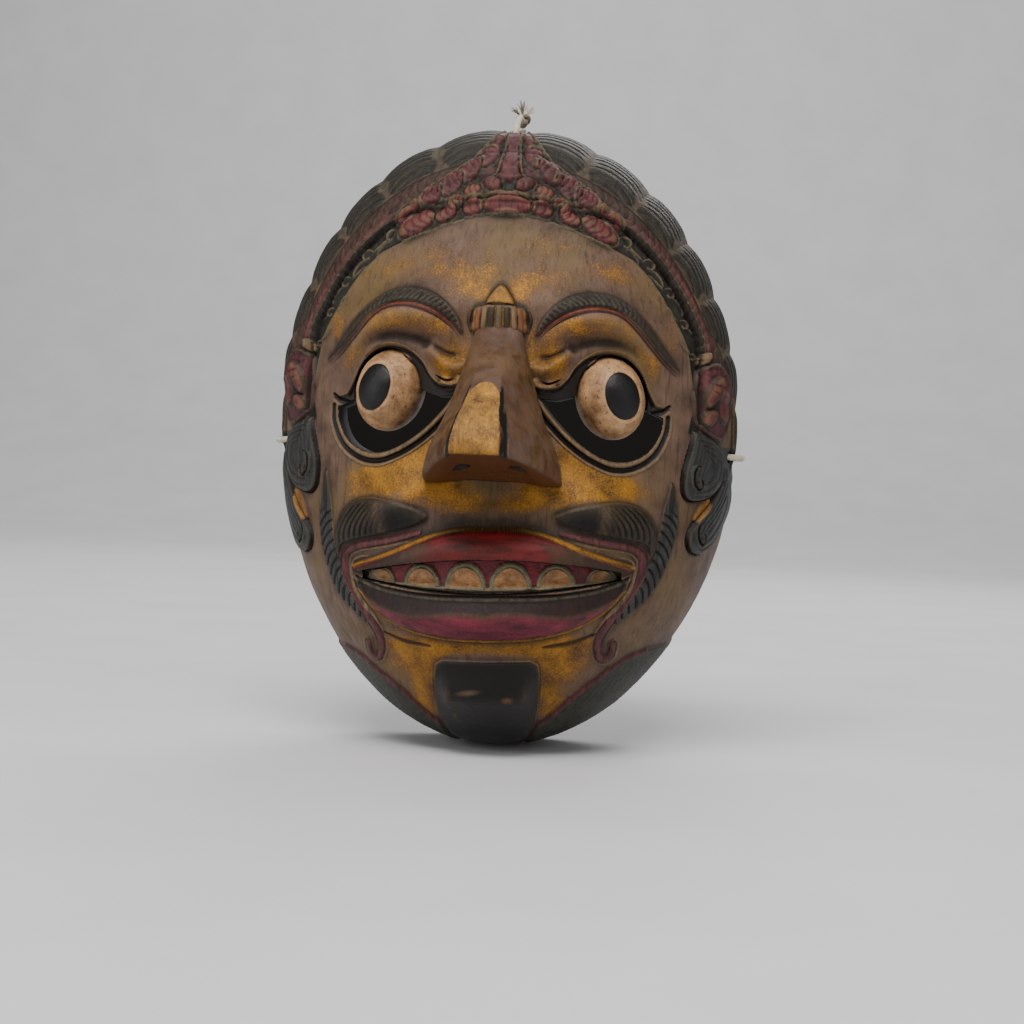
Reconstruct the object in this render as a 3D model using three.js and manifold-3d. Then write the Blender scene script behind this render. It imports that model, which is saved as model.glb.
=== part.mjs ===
// A carved wooden dance mask with a hanging cord and a head strap.
// Millimetres, +Z up, the face looks along -Y, the flat back rim lies in the plane Y = 0.
// The origin is the hanging point, on the back plane at the top edge of the rim.

import * as THREE from 'three';
import { mergeVertices } from 'three/addons/utils/BufferGeometryUtils.js';
import Module from 'manifold-3d';

// ---------------------------------------------------------------- driving sizes

// The domed shell. Heights are measured from the crown centre, the middle of the oval.
const HALF_WIDTH = 72.5;
const CROWN_RISE = 92.5;
const CHIN_DROP = 101.5;
const FACE_DEPTH = 60;
const RIM_WALL = 9;
const FRONT_WALL = 14;
const CROWN_CENTRE = 5; // height of the oval's middle above the level of the eyes' lower lids

// The roundness of the dome: 2 is an ellipsoid, more is boxier.
const DOME_ROUNDNESS = 2.15;
const CHIN_ROUNDNESS = 1.5; // added at the very bottom

// Everything that only touches keeps this gap.
const GAP = 0.3;

// Eyes, measured from the middle of the face.
const EYE_X = 32.6;
const EYE_Z = 10.4;
const EYE_HALF_WIDTH = 10.2;
const EYE_HALF_HEIGHT = 12.4;
const EYE_BULGE = 11; // half the depth of the ball
const EYE_SINK = 7; // how far the ball's middle lies behind the dome's surface
const EYE_LEAN = 15; // degrees, the top leans towards the nose
const SOCKET_FLOOR = 3.2; // the ball's flat back lies this far behind its middle
const SIGHT_SLOT_DROP = 18.4; // from the ball's middle down to the slot's lowest point
const SIGHT_SLOT_INNER = 19.6; // from the ball's middle to the corner by the nose
const SIGHT_SLOT_OUTER = 15.4; // from the ball's middle to the corner by the temple

// Nose, a wedge with a blunt flat tip.
const NOSE_TOP = 30;
const NOSE_BASE = -17;
const NOSE_TOP_HALF = 6.5;
const NOSE_BASE_HALF = 20.5;
const NOSE_TIP_HALF = 6.6;
const NOSE_REACH = 35; // the tip in front of the dome
const NOSE_UNDERCUT = 0.22; // rise of the underside for each millimetre forward
const NOSTRIL_DIAMETER = 5;
const NOSTRIL_DEPTH = 6;

// Pegs that hold the eyes and the nose from behind.
const EYE_PEG_DIAMETER = 4;
const EYE_PEG_GRIP = 5; // length of the peg inside the ball
const NOSE_PEG_DIAMETER = 5;
const NOSE_PEG_GRIP = 9;
const NOSE_PEG_HEIGHTS = [12, -6];
const PEG_CLEARANCE = 0.3; // all round a peg

// Mouth.
const MOUTH_HALF = 38;
const MOUTH_Z = -43;
const MOUTH_HEIGHT = 10;
const MOUTH_CORNER_HEIGHT = 2.4;
const MOUTH_TILT = 2.1; // degrees, the corner on the viewer's right is higher
const TEETH_RECESS = 3; // the tooth row behind the dome's surface
const TOOTH_COUNT = 5;
const TOOTH_PITCH = 12.6;
const TOOTH_RADIUS = 5.2;

// Cords.
const CORD_DIAMETER = 2;
const HOLE_CLEARANCE = 0.9; // all round a cord in its hole
const NOTCH_CLEARANCE = 0.7; // on each side of a cord in its notch
const NOTCH_FLOOR_CLEARANCE = 1.2; // in front of and behind a cord in its notch, together
const CORD_HOLE_DIAMETER = CORD_DIAMETER + 2 * HOLE_CLEARANCE;
const NOTCH_WIDTH = CORD_DIAMETER + 2 * NOTCH_CLEARANCE;
const NOTCH_DEPTH = CORD_DIAMETER + NOTCH_FLOOR_CLEARANCE;
const KNOT_DIAMETER = 2.6 * CORD_DIAMETER;
const KNOT_GAP = 0.3;
const TOP_HOLE_Y = -27;
const TOP_HOLE_SLANT = 36; // degrees from upright
const SIDE_HOLE_Y = -19;
const SIDE_HOLE_Z = -5;
const FRAYED_END_DIAMETER = 1.5;

// Mesh fineness.
const TURN_STEPS = 72;
const FRONT_STEPS = 24;
const INNER_STEPS = 7;

// ---------------------------------------------------------------- small helpers

const wasm = await Module();
wasm.setup();

const rad = THREE.MathUtils.degToRad;
const hang = new THREE.Vector3(0, 0, -(CROWN_CENTRE + CROWN_RISE)); // face middle -> origin

function toSolid(geometry) {
  const plain = geometry.clone();
  plain.deleteAttribute('normal');
  plain.deleteAttribute('uv');
  const merged = mergeVertices(plain, 1e-4);
  return new wasm.Manifold(new wasm.Mesh({
    numProp: 3,
    vertProperties: new Float32Array(merged.attributes.position.array),
    triVerts: new Uint32Array(merged.index.array),
  }));
}

function toGeometry(solid) {
  const mesh = solid.getMesh();
  const positions = new Float32Array(mesh.numVert * 3);
  for (let i = 0; i < mesh.numVert; i += 1) {
    for (let axis = 0; axis < 3; axis += 1) {
      positions[3 * i + axis] = mesh.vertProperties[mesh.numProp * i + axis];
    }
  }
  const geometry = new THREE.BufferGeometry();
  geometry.setAttribute('position', new THREE.BufferAttribute(positions, 3));
  geometry.setIndex(Array.from(mesh.triVerts));
  geometry.computeVertexNormals();
  return geometry;
}

// A rod of the given diameter from one point to another.
function rod(from, to, diameter, sides = 16) {
  const axis = new THREE.Vector3().subVectors(to, from);
  const geometry = new THREE.CylinderGeometry(diameter / 2, diameter / 2, axis.length(), sides);
  geometry.applyQuaternion(new THREE.Quaternion().setFromUnitVectors(
    new THREE.Vector3(0, 1, 0),
    axis.clone().normalize(),
  ));
  const middle = new THREE.Vector3().addVectors(from, to).multiplyScalar(0.5);
  geometry.translate(middle.x, middle.y, middle.z);
  return geometry;
}

// An outline drawn in the X-Z plane, carried along Y from nearY to farY (nearY < farY).
function prismAlongY(shape, nearY, farY, curveSegments = 12) {
  const geometry = new THREE.ExtrudeGeometry(shape, {
    depth: farY - nearY,
    bevelEnabled: false,
    curveSegments,
  });
  geometry.rotateX(Math.PI / 2); // shape y -> z, extrusion -> -y
  geometry.translate(0, farY, 0);
  return geometry;
}

function cordTube(points, diameter, steps) {
  const sides = 8;
  const section = new THREE.Shape();
  for (let i = 0; i < sides; i += 1) {
    const turn = (2 * Math.PI * i) / sides;
    const x = (diameter / 2) * Math.cos(turn);
    const y = (diameter / 2) * Math.sin(turn);
    if (i === 0) section.moveTo(x, y);
    else section.lineTo(x, y);
  }
  section.closePath();
  const path = new THREE.CatmullRomCurve3(points.map((p) => new THREE.Vector3(...p)), false, 'centripetal');
  return new THREE.ExtrudeGeometry(section, { steps, bevelEnabled: false, extrudePath: path });
}

// ---------------------------------------------------------------- the dome

// The oval outline: distance from the crown centre at a turn, everything grown by grow.
function outlineRadius(turn, grow = 0) {
  const c = Math.cos(turn);
  const s = Math.sin(turn);
  const upper = s > 0;
  const roundness = upper ? (c > 0 ? 1.95 : 2.1) : 2;
  const rise = (upper ? CROWN_RISE : CHIN_DROP) + grow;
  const across = Math.abs(c / (HALF_WIDTH + grow)) ** roundness;
  const upright = Math.abs(s / rise) ** roundness;
  return (across + upright) ** (-1 / roundness);
}

function roundnessAt(turn) {
  const down = Math.max(0, -Math.sin(turn));
  return DOME_ROUNDNESS + CHIN_ROUNDNESS * down ** 6;
}

// A point of the dome: share 0 is the middle of the face, share 1 is the rim.
function domePoint(turn, share, growOut, growFront) {
  const n = roundnessAt(turn);
  const swing = (share * Math.PI) / 2;
  const radius = outlineRadius(turn, growOut) * Math.sin(swing) ** (2 / n);
  const depth = share >= 1 ? 0 : (FACE_DEPTH + growFront) * Math.cos(swing) ** (2 / n);
  return new THREE.Vector3(radius * Math.cos(turn), -depth, CROWN_CENTRE + radius * Math.sin(turn));
}

// How far the dome stands in front of the back plane at a place on the face.
function domeDepth(x, z, growOut = 0, growFront = 0) {
  const turn = Math.atan2(z - CROWN_CENTRE, x);
  const share = Math.hypot(x, z - CROWN_CENTRE) / outlineRadius(turn, growOut);
  const n = roundnessAt(turn);
  return (FACE_DEPTH + growFront) * Math.max(0, 1 - share ** n) ** (1 / n);
}

function domeNormal(turn, share) {
  const n = roundnessAt(turn);
  const swing = (share * Math.PI) / 2;
  const outward = Math.sin(swing) ** (2 - 2 / n) / outlineRadius(turn);
  const forward = Math.cos(swing) ** (2 - 2 / n) / FACE_DEPTH;
  return new THREE.Vector3(outward * Math.cos(turn), -forward, outward * Math.sin(turn)).normalize();
}

// A soft bump of height 1 around a middle, with half sizes and a lean in degrees.
function mound(x, z, middleX, middleZ, halfX, halfZ, lean = 0) {
  const c = Math.cos(rad(lean));
  const s = Math.sin(rad(lean));
  const dx = x - middleX;
  const dz = z - middleZ;
  const u = (c * dx + s * dz) / halfX;
  const v = (-s * dx + c * dz) / halfZ;
  return Math.exp(-(u * u + v * v));
}

// The carved relief, in millimetres out of the dome: brows, cheeks, mouth, chin, diadem.
function relief(x, z, share) {
  const side = Math.abs(x);
  let height = 0;
  height += 4.2 * mound(side, z, 29, 33, 19, 6, -12); // brow ridge
  height -= 4.5 * mound(side, z, EYE_X, EYE_Z - 1, 15, 12); // eye hollow
  height += 2.5 * mound(side, z, 30, -19, 16, 8); // cheek
  height += 3.0 * mound(side, z, 33, -24, 14, 5, -25); // moustache
  height += 7.0 * mound(x, z, 0, MOUTH_Z - 1, 42, 17); // the mouth's swelling
  height += 2.0 * mound(x, z, 0, -34, 34, 3.5); // upper lip
  height += 2.5 * mound(x, z, 0, -54, 28, 5); // lower lip
  height += 2.0 * mound(x, z, 0, -64, 26, 7); // under the lower lip
  height += 4.0 * mound(x, z, 0, -80, 17, 12); // chin
  height += 2.5 * mound(x, z, 0, 33, 8, 7); // brow ornament
  height += 2.5 * mound(side, z, 63, 12, 6, 9); // rosette by the ear
  height += 1.8 * mound(side, z, 63, -16, 5, 13); // curled lock below it
  const up = THREE.MathUtils.smoothstep(z, 8, 24);
  const band = THREE.MathUtils.smoothstep(share, 0.6, 0.68) * (1 - THREE.MathUtils.smoothstep(share, 0.86, 0.9));
  height += 2.4 * up * band; // diadem band
  height += 3.0 * mound(x, z, 0, 72, 11, 12); // diadem peak
  return height;
}

// The carved front, lifted off itself by lift.
function outerPoint(turn, share, lift = 0) {
  const point = domePoint(turn, share, 0, 0);
  const edge = 1 - THREE.MathUtils.smoothstep(share, 0.9, 1);
  const height = relief(point.x, point.z, share) * edge + lift;
  return point.addScaledVector(domeNormal(turn, share), height);
}

function innerPoint(turn, share) {
  return domePoint(turn, share, -RIM_WALL, -FRONT_WALL);
}

// A closed body: one dome skin over a flat back, or two skins joined by the flat rim.
function domeSolid(outer, inner) {
  const positions = [];
  const index = [];
  const addSkin = (pointAt, steps, facesFront) => {
    const first = positions.length / 3;
    positions.push(...pointAt(0, 0).toArray());
    for (let j = 1; j <= steps; j += 1) {
      for (let i = 0; i < TURN_STEPS; i += 1) {
        positions.push(...pointAt((2 * Math.PI * i) / TURN_STEPS, j / steps).toArray());
      }
    }
    const at = (i, j) => (j === 0 ? first : first + 1 + (j - 1) * TURN_STEPS + (i % TURN_STEPS));
    const addTriangle = (a, b, c) => index.push(...(facesFront ? [a, b, c] : [a, c, b]));
    for (let j = 0; j < steps; j += 1) {
      for (let i = 0; i < TURN_STEPS; i += 1) {
        if (j > 0) addTriangle(at(i, j), at(i, j + 1), at(i + 1, j));
        addTriangle(at(i, j + 1), at(i + 1, j + 1), at(i + 1, j));
      }
    }
    return (i) => at(i, steps);
  };
  const outerRim = addSkin(outer, FRONT_STEPS, true);
  if (inner) {
    const innerRim = addSkin(inner, INNER_STEPS, false);
    for (let i = 0; i < TURN_STEPS; i += 1) {
      index.push(outerRim(i), innerRim(i), innerRim(i + 1));
      index.push(outerRim(i), innerRim(i + 1), outerRim(i + 1));
    }
  } else {
    const middle = positions.length / 3;
    positions.push(0, outer(0, 1).y, CROWN_CENTRE);
    for (let i = 0; i < TURN_STEPS; i += 1) index.push(middle, outerRim(i + 1), outerRim(i));
  }
  const geometry = new THREE.BufferGeometry();
  geometry.setAttribute('position', new THREE.Float32BufferAttribute(positions, 3));
  geometry.setIndex(index);
  return toSolid(geometry);
}

// ---------------------------------------------------------------- eyes and nose

const sides = { left: -1, right: 1 }; // as the viewer sees them

function eyeMiddle(side) {
  return new THREE.Vector3(side * EYE_X, EYE_SINK - domeDepth(EYE_X, EYE_Z), EYE_Z);
}

// The ball, cut flat at the back; grown by grow for its socket.
function eyeballSolid(side, grow = 0) {
  const geometry = new THREE.SphereGeometry(1, 20, 14);
  geometry.scale(EYE_HALF_WIDTH + grow, EYE_BULGE + grow, EYE_HALF_HEIGHT + grow);
  geometry.rotateY(rad(-side * EYE_LEAN));
  const middle = eyeMiddle(side);
  geometry.translate(middle.x, middle.y, middle.z);
  const reach = 2 * EYE_HALF_HEIGHT;
  const behind = new THREE.BoxGeometry(2 * reach, reach, 2 * reach);
  behind.translate(middle.x, middle.y + SOCKET_FLOOR + grow + reach / 2, middle.z);
  return toSolid(geometry).subtract(toSolid(behind));
}

// The see-through crescent under the ball that the dancer looks out of.
function sightSlotSolid(side) {
  const place = (fromNose, rise) => new THREE.Vector2(side * (EYE_X + fromNose), EYE_Z + rise);
  const innerCorner = place(-SIGHT_SLOT_INNER, -0.8);
  const outerCorner = place(SIGHT_SLOT_OUTER, -5.8);
  const shape = new THREE.Shape();
  shape.moveTo(innerCorner.x, innerCorner.y);
  shape.splineThru([
    place(-0.58 * SIGHT_SLOT_INNER, -0.62 * SIGHT_SLOT_DROP),
    place(2, -SIGHT_SLOT_DROP),
    place(0.75 * SIGHT_SLOT_OUTER, -0.74 * SIGHT_SLOT_DROP),
    outerCorner,
  ]);
  shape.lineTo(...place(0.75 * EYE_HALF_WIDTH, -4).toArray());
  shape.lineTo(...place(0, -0.7 * EYE_HALF_HEIGHT).toArray());
  shape.lineTo(...place(-0.9 * EYE_HALF_WIDTH, 1.5).toArray());
  shape.closePath();
  return toSolid(prismAlongY(shape, -FACE_DEPTH - EYE_BULGE, -FACE_DEPTH / 3, 6));
}

function noseSolid() {
  const levels = 8;
  const positions = [];
  const index = [];
  const baseDepth = domeDepth(0, 0);
  const profile = [[-1, -8], [-1, 0], [-0.93, 0.22], [-0.72, 0.55], [-0.5, 0.8]]; // share of half, share of reach
  for (let k = 0; k <= levels; k += 1) {
    const share = k / levels;
    const half = THREE.MathUtils.lerp(NOSE_TOP_HALF, NOSE_BASE_HALF, share ** 1.1);
    const tip = Math.min(NOSE_TIP_HALF, 0.62 * half);
    const reach = 2 + (NOSE_REACH - 2) * Math.sin((share * Math.PI) / 2) ** 1.15;
    const level = THREE.MathUtils.lerp(NOSE_TOP, NOSE_BASE, share);
    const ring = profile.map(([across, out]) => (out < 0
      ? [across * half, baseDepth + out]
      : [across * half, baseDepth + out * reach]));
    ring.push([-tip, baseDepth + reach]);
    const mirrored = ring.map(([x, depth]) => [-x, depth]).reverse();
    for (const [x, depth] of [...ring, ...mirrored]) {
      const rise = NOSE_UNDERCUT * share * (depth - baseDepth);
      positions.push(x, -depth, level + rise);
    }
  }
  const ringSize = positions.length / 3 / (levels + 1);
  for (let k = 0; k < levels; k += 1) {
    for (let i = 0; i < ringSize; i += 1) {
      const next = (i + 1) % ringSize;
      const a = k * ringSize + i;
      const b = k * ringSize + next;
      index.push(a, a + ringSize, b + ringSize, a, b + ringSize, b);
    }
  }
  for (let i = 1; i < ringSize - 1; i += 1) {
    index.push(0, i, i + 1);
    index.push(levels * ringSize, levels * ringSize + i + 1, levels * ringSize + i);
  }
  const geometry = new THREE.BufferGeometry();
  geometry.setAttribute('position', new THREE.Float32BufferAttribute(positions, 3));
  geometry.setIndex(index);
  return toSolid(geometry);
}

function nostrilSolid(side) {
  const mouth = new THREE.Vector3(side * 0.42 * NOSE_BASE_HALF, -domeDepth(0, 0) - 0.3 * NOSE_REACH, NOSE_BASE);
  const below = mouth.clone().add(new THREE.Vector3(0, 0, -NOSTRIL_DIAMETER));
  const top = mouth.clone().add(new THREE.Vector3(0, 0, NOSTRIL_DEPTH));
  return toSolid(rod(below, top, NOSTRIL_DIAMETER, 12));
}

// A peg runs from the hollow through the wall into the piece that it holds.
function pegEnds(x, z, frontDepth) {
  const back = domeDepth(x, z, -RIM_WALL, -FRONT_WALL) + 0.5;
  return [new THREE.Vector3(x, -back, z), new THREE.Vector3(x, -frontDepth, z)];
}

function eyePegEnds(side) {
  const backDepth = -eyeMiddle(side).y - SOCKET_FLOOR;
  return pegEnds(side * EYE_X, EYE_Z + 1, backDepth + EYE_PEG_GRIP);
}

function nosePegEnds(height) {
  return pegEnds(0, height, domeDepth(0, height) + relief(0, height, 0) + NOSE_PEG_GRIP);
}

// The hole is drilled a clearance wider, and a clearance deeper at its blind end.
function pegHole([back, front], diameter) {
  const start = back.clone().add(new THREE.Vector3(0, FACE_DEPTH / 4, 0));
  const end = front.clone().add(new THREE.Vector3(0, -2 * PEG_CLEARANCE, 0));
  return toSolid(rod(start, end, diameter + 2 * PEG_CLEARANCE));
}

// ---------------------------------------------------------------- mouth

function mouthSlitSolid(shrink = 0) {
  const shape = new THREE.Shape();
  const half = MOUTH_HALF - 2 * shrink;
  const rise = MOUTH_HEIGHT / 2 - shrink;
  const corner = MOUTH_CORNER_HEIGHT / 2 - shrink;
  shape.moveTo(-half, corner);
  shape.quadraticCurveTo(-half / 2, rise, 0, rise);
  shape.quadraticCurveTo(half / 2, rise, half, corner);
  shape.lineTo(half, -corner);
  shape.quadraticCurveTo(half / 2, -rise, 0, -rise);
  shape.quadraticCurveTo(-half / 2, -rise, -half, -corner);
  const geometry = prismAlongY(shape, -1.5 * FACE_DEPTH, -FACE_DEPTH / 3, 6);
  geometry.rotateY(rad(-MOUTH_TILT));
  geometry.translate(0, 0, MOUTH_Z);
  return toSolid(geometry);
}

function toothSolid(number) {
  const x = (number - (TOOTH_COUNT - 1) / 2) * TOOTH_PITCH;
  const depth = domeDepth(x, MOUTH_Z) + relief(x, MOUTH_Z, 0) - TEETH_RECESS;
  const geometry = new THREE.SphereGeometry(1, 12, 8);
  geometry.scale(TOOTH_RADIUS, TEETH_RECESS - GAP, MOUTH_HEIGHT / 2 - 2 * GAP);
  geometry.translate(x, -depth, 0);
  geometry.rotateY(rad(-MOUTH_TILT));
  geometry.translate(0, 0, MOUTH_Z);
  return toSolid(geometry);
}

// ---------------------------------------------------------------- cord routes

const rimTop = CROWN_CENTRE + CROWN_RISE;
const levelAtDepth = (y) => (1 - (-y / FACE_DEPTH) ** DOME_ROUNDNESS) ** (1 / DOME_ROUNDNESS);
const topHoleZ = CROWN_CENTRE + CROWN_RISE * levelAtDepth(TOP_HOLE_Y);
const sideHoleX = HALF_WIDTH * levelAtDepth(SIDE_HOLE_Y);
const topKnot = new THREE.Vector3(0, -3, rimTop + KNOT_DIAMETER / 2 + 1.2);

// From the knot's front, down the outside to the hole, through it and back up behind the rim.
// Heights are above the rim's top.
const hangingRoute = [
  [0, topKnot.y - KNOT_DIAMETER / 2 - KNOT_GAP, 3.0],
  [0, -9.5, 2.5],
  [0, -15, 2.1],
  [0, -20.5, 0.4],
  [0, -25.5, -2.2],
  [0, -28.8, -4.9],
  [0, -28.3, -7.3],
  [0, -25.6, -10.6],
  [0, -22.2, -15.3],
  [0, -19.9, -18.2],
  [0, -16.6, -18.4],
  [0, -11.5, -14.2],
  [0, -6, -11.9],
  [0, -2.8, -10.9],
  [0, -1.5, -8],
  [0, -1.5, -4],
  [0, -1.5, -0.6],
  [0, -2.2, 0.9],
].map(([x, y, up]) => [x, y, rimTop + up]);

function tieRoute(side) {
  const z = SIDE_HOLE_Z;
  return [
    [side * (HALF_WIDTH - RIM_WALL - 5.5), -2.4, z],
    [side * (HALF_WIDTH - RIM_WALL - 1), -1.5, z],
    [side * (HALF_WIDTH - 1), -1.5, z],
    [side * (HALF_WIDTH + 1.4), -2.6, z],
    [side * (HALF_WIDTH + 1.6), -6, z],
    [side * (HALF_WIDTH + 0.8), -12, z],
    [side * (sideHoleX + 1.6), SIDE_HOLE_Y + 1.2, z],
    [side * (sideHoleX - 1), SIDE_HOLE_Y, z],
    [side * (sideHoleX - 6), SIDE_HOLE_Y, z],
    [side * (sideHoleX - RIM_WALL - 2.8), SIDE_HOLE_Y + 0.3, z],
    [side * (sideHoleX - RIM_WALL - 5.2), SIDE_HOLE_Y + 4, z],
    [side * (HALF_WIDTH - RIM_WALL - 8), -10, z],
  ];
}

const strapKnotX = HALF_WIDTH - RIM_WALL - 5.5 - KNOT_DIAMETER / 2 - KNOT_GAP;
const strapKnotY = -6;

// The head strap hangs slack inside the hollow from knot to knot.
const strapRoute = [
  [-strapKnotX, strapKnotY, SIDE_HOLE_Z - KNOT_DIAMETER / 2 - KNOT_GAP],
  [-strapKnotX + 0.6, strapKnotY, SIDE_HOLE_Z - 8],
  [-50.5, strapKnotY, -22],
  [-46, strapKnotY, -34],
  [-39.5, strapKnotY, -46],
  [-31, strapKnotY, -56.5],
  [-20.5, strapKnotY, -64.5],
  [-9.5, strapKnotY, -68.8],
  [0, strapKnotY, -70],
  [9.5, strapKnotY, -68.8],
  [20.5, strapKnotY, -64.5],
  [31, strapKnotY, -56.5],
  [39.5, strapKnotY, -46],
  [46, strapKnotY, -34],
  [50.5, strapKnotY, -22],
  [strapKnotX - 0.6, strapKnotY, SIDE_HOLE_Z - 8],
  [strapKnotX, strapKnotY, SIDE_HOLE_Z - KNOT_DIAMETER / 2 - KNOT_GAP],
];

// The frayed twine ends that stand up from the top knot: lean sideways, lean forward, height.
const frayedEnds = [[-3.4, -0.6, 6.5], [-0.6, -1.2, 8.6], [2.4, 0.4, 7.6]];

function knotGeometry(middle) {
  const geometry = new THREE.SphereGeometry(KNOT_DIAMETER / 2, 14, 10);
  geometry.translate(middle.x, middle.y, middle.z);
  return geometry;
}

// ---------------------------------------------------------------- cuts in the shell

function cordHoles() {
  const cuts = [];
  const top = new THREE.Vector3(0, TOP_HOLE_Y, topHoleZ);
  const inward = new THREE.Vector3(0, Math.sin(rad(TOP_HOLE_SLANT)), -Math.cos(rad(TOP_HOLE_SLANT)));
  const outside = top.clone().addScaledVector(inward, -1.2 * RIM_WALL);
  const inside = top.clone().addScaledVector(inward, 1.6 * FRONT_WALL);
  cuts.push(rod(outside, inside, CORD_HOLE_DIAMETER, 12));
  const notch = new THREE.BoxGeometry(NOTCH_WIDTH, 2 * NOTCH_DEPTH, 3 * RIM_WALL);
  notch.translate(0, 0, rimTop - RIM_WALL / 2);
  cuts.push(notch);
  for (const side of Object.values(sides)) {
    cuts.push(rod(
      new THREE.Vector3(side * (sideHoleX + 6), SIDE_HOLE_Y, SIDE_HOLE_Z),
      new THREE.Vector3(side * (sideHoleX - 2.2 * RIM_WALL), SIDE_HOLE_Y, SIDE_HOLE_Z),
      CORD_HOLE_DIAMETER,
      12,
    ));
    const sideNotch = new THREE.BoxGeometry(3 * RIM_WALL, 2 * NOTCH_DEPTH, NOTCH_WIDTH);
    sideNotch.translate(side * (HALF_WIDTH - RIM_WALL / 2), 0, SIDE_HOLE_Z);
    cuts.push(sideNotch);
  }
  return cuts.map(toSolid);
}

// ---------------------------------------------------------------- assembly

const carvedFront = (lift) => domeSolid((turn, share) => outerPoint(turn, share, lift));
const hollow = domeSolid(innerPoint);

let shell = domeSolid((turn, share) => outerPoint(turn, share), innerPoint);
let nose = noseSolid().subtract(carvedFront(GAP));
for (const side of Object.values(sides)) nose = nose.subtract(nostrilSolid(side));
for (const cut of cordHoles()) shell = shell.subtract(cut);

const mask = new THREE.Group();
mask.position.copy(hang);

function addPart(name, geometry, color, roughness = 0.7) {
  const material = new THREE.MeshStandardMaterial({ color, roughness, metalness: 0 });
  const mesh = new THREE.Mesh(geometry, material);
  mesh.name = name;
  mask.add(mesh);
}

for (const [sideName, side] of Object.entries(sides)) {
  const ends = eyePegEnds(side);
  shell = shell.subtract(sightSlotSolid(side)).subtract(eyeballSolid(side, GAP));
  shell = shell.subtract(pegHole(ends, EYE_PEG_DIAMETER));
  const ball = eyeballSolid(side).subtract(pegHole(ends, EYE_PEG_DIAMETER));
  addPart(`eyeball_${sideName}`, toGeometry(ball), '#b9987a', 0.45);
  addPart(`eye_peg_${sideName}`, rod(...ends, EYE_PEG_DIAMETER), '#8a6a45');
}

NOSE_PEG_HEIGHTS.forEach((height, place) => {
  const ends = nosePegEnds(height);
  shell = shell.subtract(pegHole(ends, NOSE_PEG_DIAMETER));
  nose = nose.subtract(pegHole(ends, NOSE_PEG_DIAMETER));
  addPart(['nose_peg_upper', 'nose_peg_lower'][place], rod(...ends, NOSE_PEG_DIAMETER), '#8a6a45');
});
addPart('nose', toGeometry(nose), '#8a7060', 0.5);

let teeth = mouthSlitSolid(GAP).intersect(carvedFront(-TEETH_RECESS));
for (let number = 0; number < TOOTH_COUNT; number += 1) teeth = teeth.add(toothSolid(number));
teeth = teeth.intersect(mouthSlitSolid(GAP)).subtract(hollow);
addPart('tooth_row', toGeometry(teeth), '#a88a50', 0.5);

shell = shell.subtract(mouthSlitSolid());
addPart('mask_shell', toGeometry(shell), '#8a6f58', 0.55);

addPart('hanging_cord', cordTube(hangingRoute, CORD_DIAMETER, 34), '#d8cbb0', 0.9);
addPart('hanging_knot', knotGeometry(topKnot), '#8a7a55', 0.9);
frayedEnds.forEach(([aside, forward, height], place) => {
  const foot = new THREE.Vector3(0.45 * aside, topKnot.y + forward, topKnot.z + KNOT_DIAMETER / 2 + KNOT_GAP);
  const tip = new THREE.Vector3(aside * 1.5, topKnot.y + 2 * forward, topKnot.z + height);
  addPart(`frayed_end_${place + 1}`, rod(foot, tip, FRAYED_END_DIAMETER, 8), '#6a5a3a', 0.9);
});

for (const [sideName, side] of Object.entries(sides)) {
  addPart(`rim_tie_${sideName}`, cordTube(tieRoute(side), CORD_DIAMETER, 26), '#d8cbb0', 0.9);
  const middle = new THREE.Vector3(side * strapKnotX, strapKnotY, SIDE_HOLE_Z);
  addPart(`strap_knot_${sideName}`, knotGeometry(middle), '#d8cbb0', 0.9);
}
addPart('head_strap', cordTube(strapRoute, CORD_DIAMETER, 48), '#d8cbb0', 0.9);

export default mask;
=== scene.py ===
"""A carved and painted wooden dance mask with a hanging cord and a head strap.

Lengths are in millimetres round the middle of the face until a mesh is made: x to the
viewer's right, y to the back, z up. place() turns them into the frame's metres.
"""

import math

import bpy
import numpy as np
from mathutils import Matrix, Vector


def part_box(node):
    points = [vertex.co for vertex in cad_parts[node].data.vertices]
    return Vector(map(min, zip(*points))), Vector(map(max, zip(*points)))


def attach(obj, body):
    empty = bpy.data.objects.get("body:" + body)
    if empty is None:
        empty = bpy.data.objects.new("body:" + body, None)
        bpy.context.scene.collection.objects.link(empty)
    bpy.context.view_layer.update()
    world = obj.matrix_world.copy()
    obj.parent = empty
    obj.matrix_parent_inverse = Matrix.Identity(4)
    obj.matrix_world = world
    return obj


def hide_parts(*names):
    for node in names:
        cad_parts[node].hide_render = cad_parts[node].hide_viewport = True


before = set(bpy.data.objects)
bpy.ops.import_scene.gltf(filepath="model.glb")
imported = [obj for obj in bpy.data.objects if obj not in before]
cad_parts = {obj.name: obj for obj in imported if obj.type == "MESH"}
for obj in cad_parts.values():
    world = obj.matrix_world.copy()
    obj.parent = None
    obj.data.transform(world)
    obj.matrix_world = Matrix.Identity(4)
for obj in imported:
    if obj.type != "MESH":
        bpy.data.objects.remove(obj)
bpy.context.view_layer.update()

# ---------------------------------------------------------------- sizes, in millimetres

MM = 0.001
shell_low, shell_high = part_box("mask_shell")

HALF_WIDTH = shell_high.x / MM
CROWN_RISE = 92.5
CHIN_DROP = -shell_low.z / MM - CROWN_RISE
FACE_DEPTH = 60.0
RIM_WALL = 9.0
FRONT_WALL = 14.0
CROWN_CENTRE = 5.0  # height of the oval's middle above the middle of the face
DOME_ROUNDNESS = 2.15
CHIN_ROUNDNESS = 1.5
RIM_TOP = CROWN_CENTRE + CROWN_RISE

EYE = (32.6, 10.4)
EYE_HALF = (10.2, 11.0, 12.4)
EYE_SINK = 7.0
EYE_LEAN = 15.0
SOCKET_FLOOR = 3.2
SOCKET_GAP = 0.9

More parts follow.
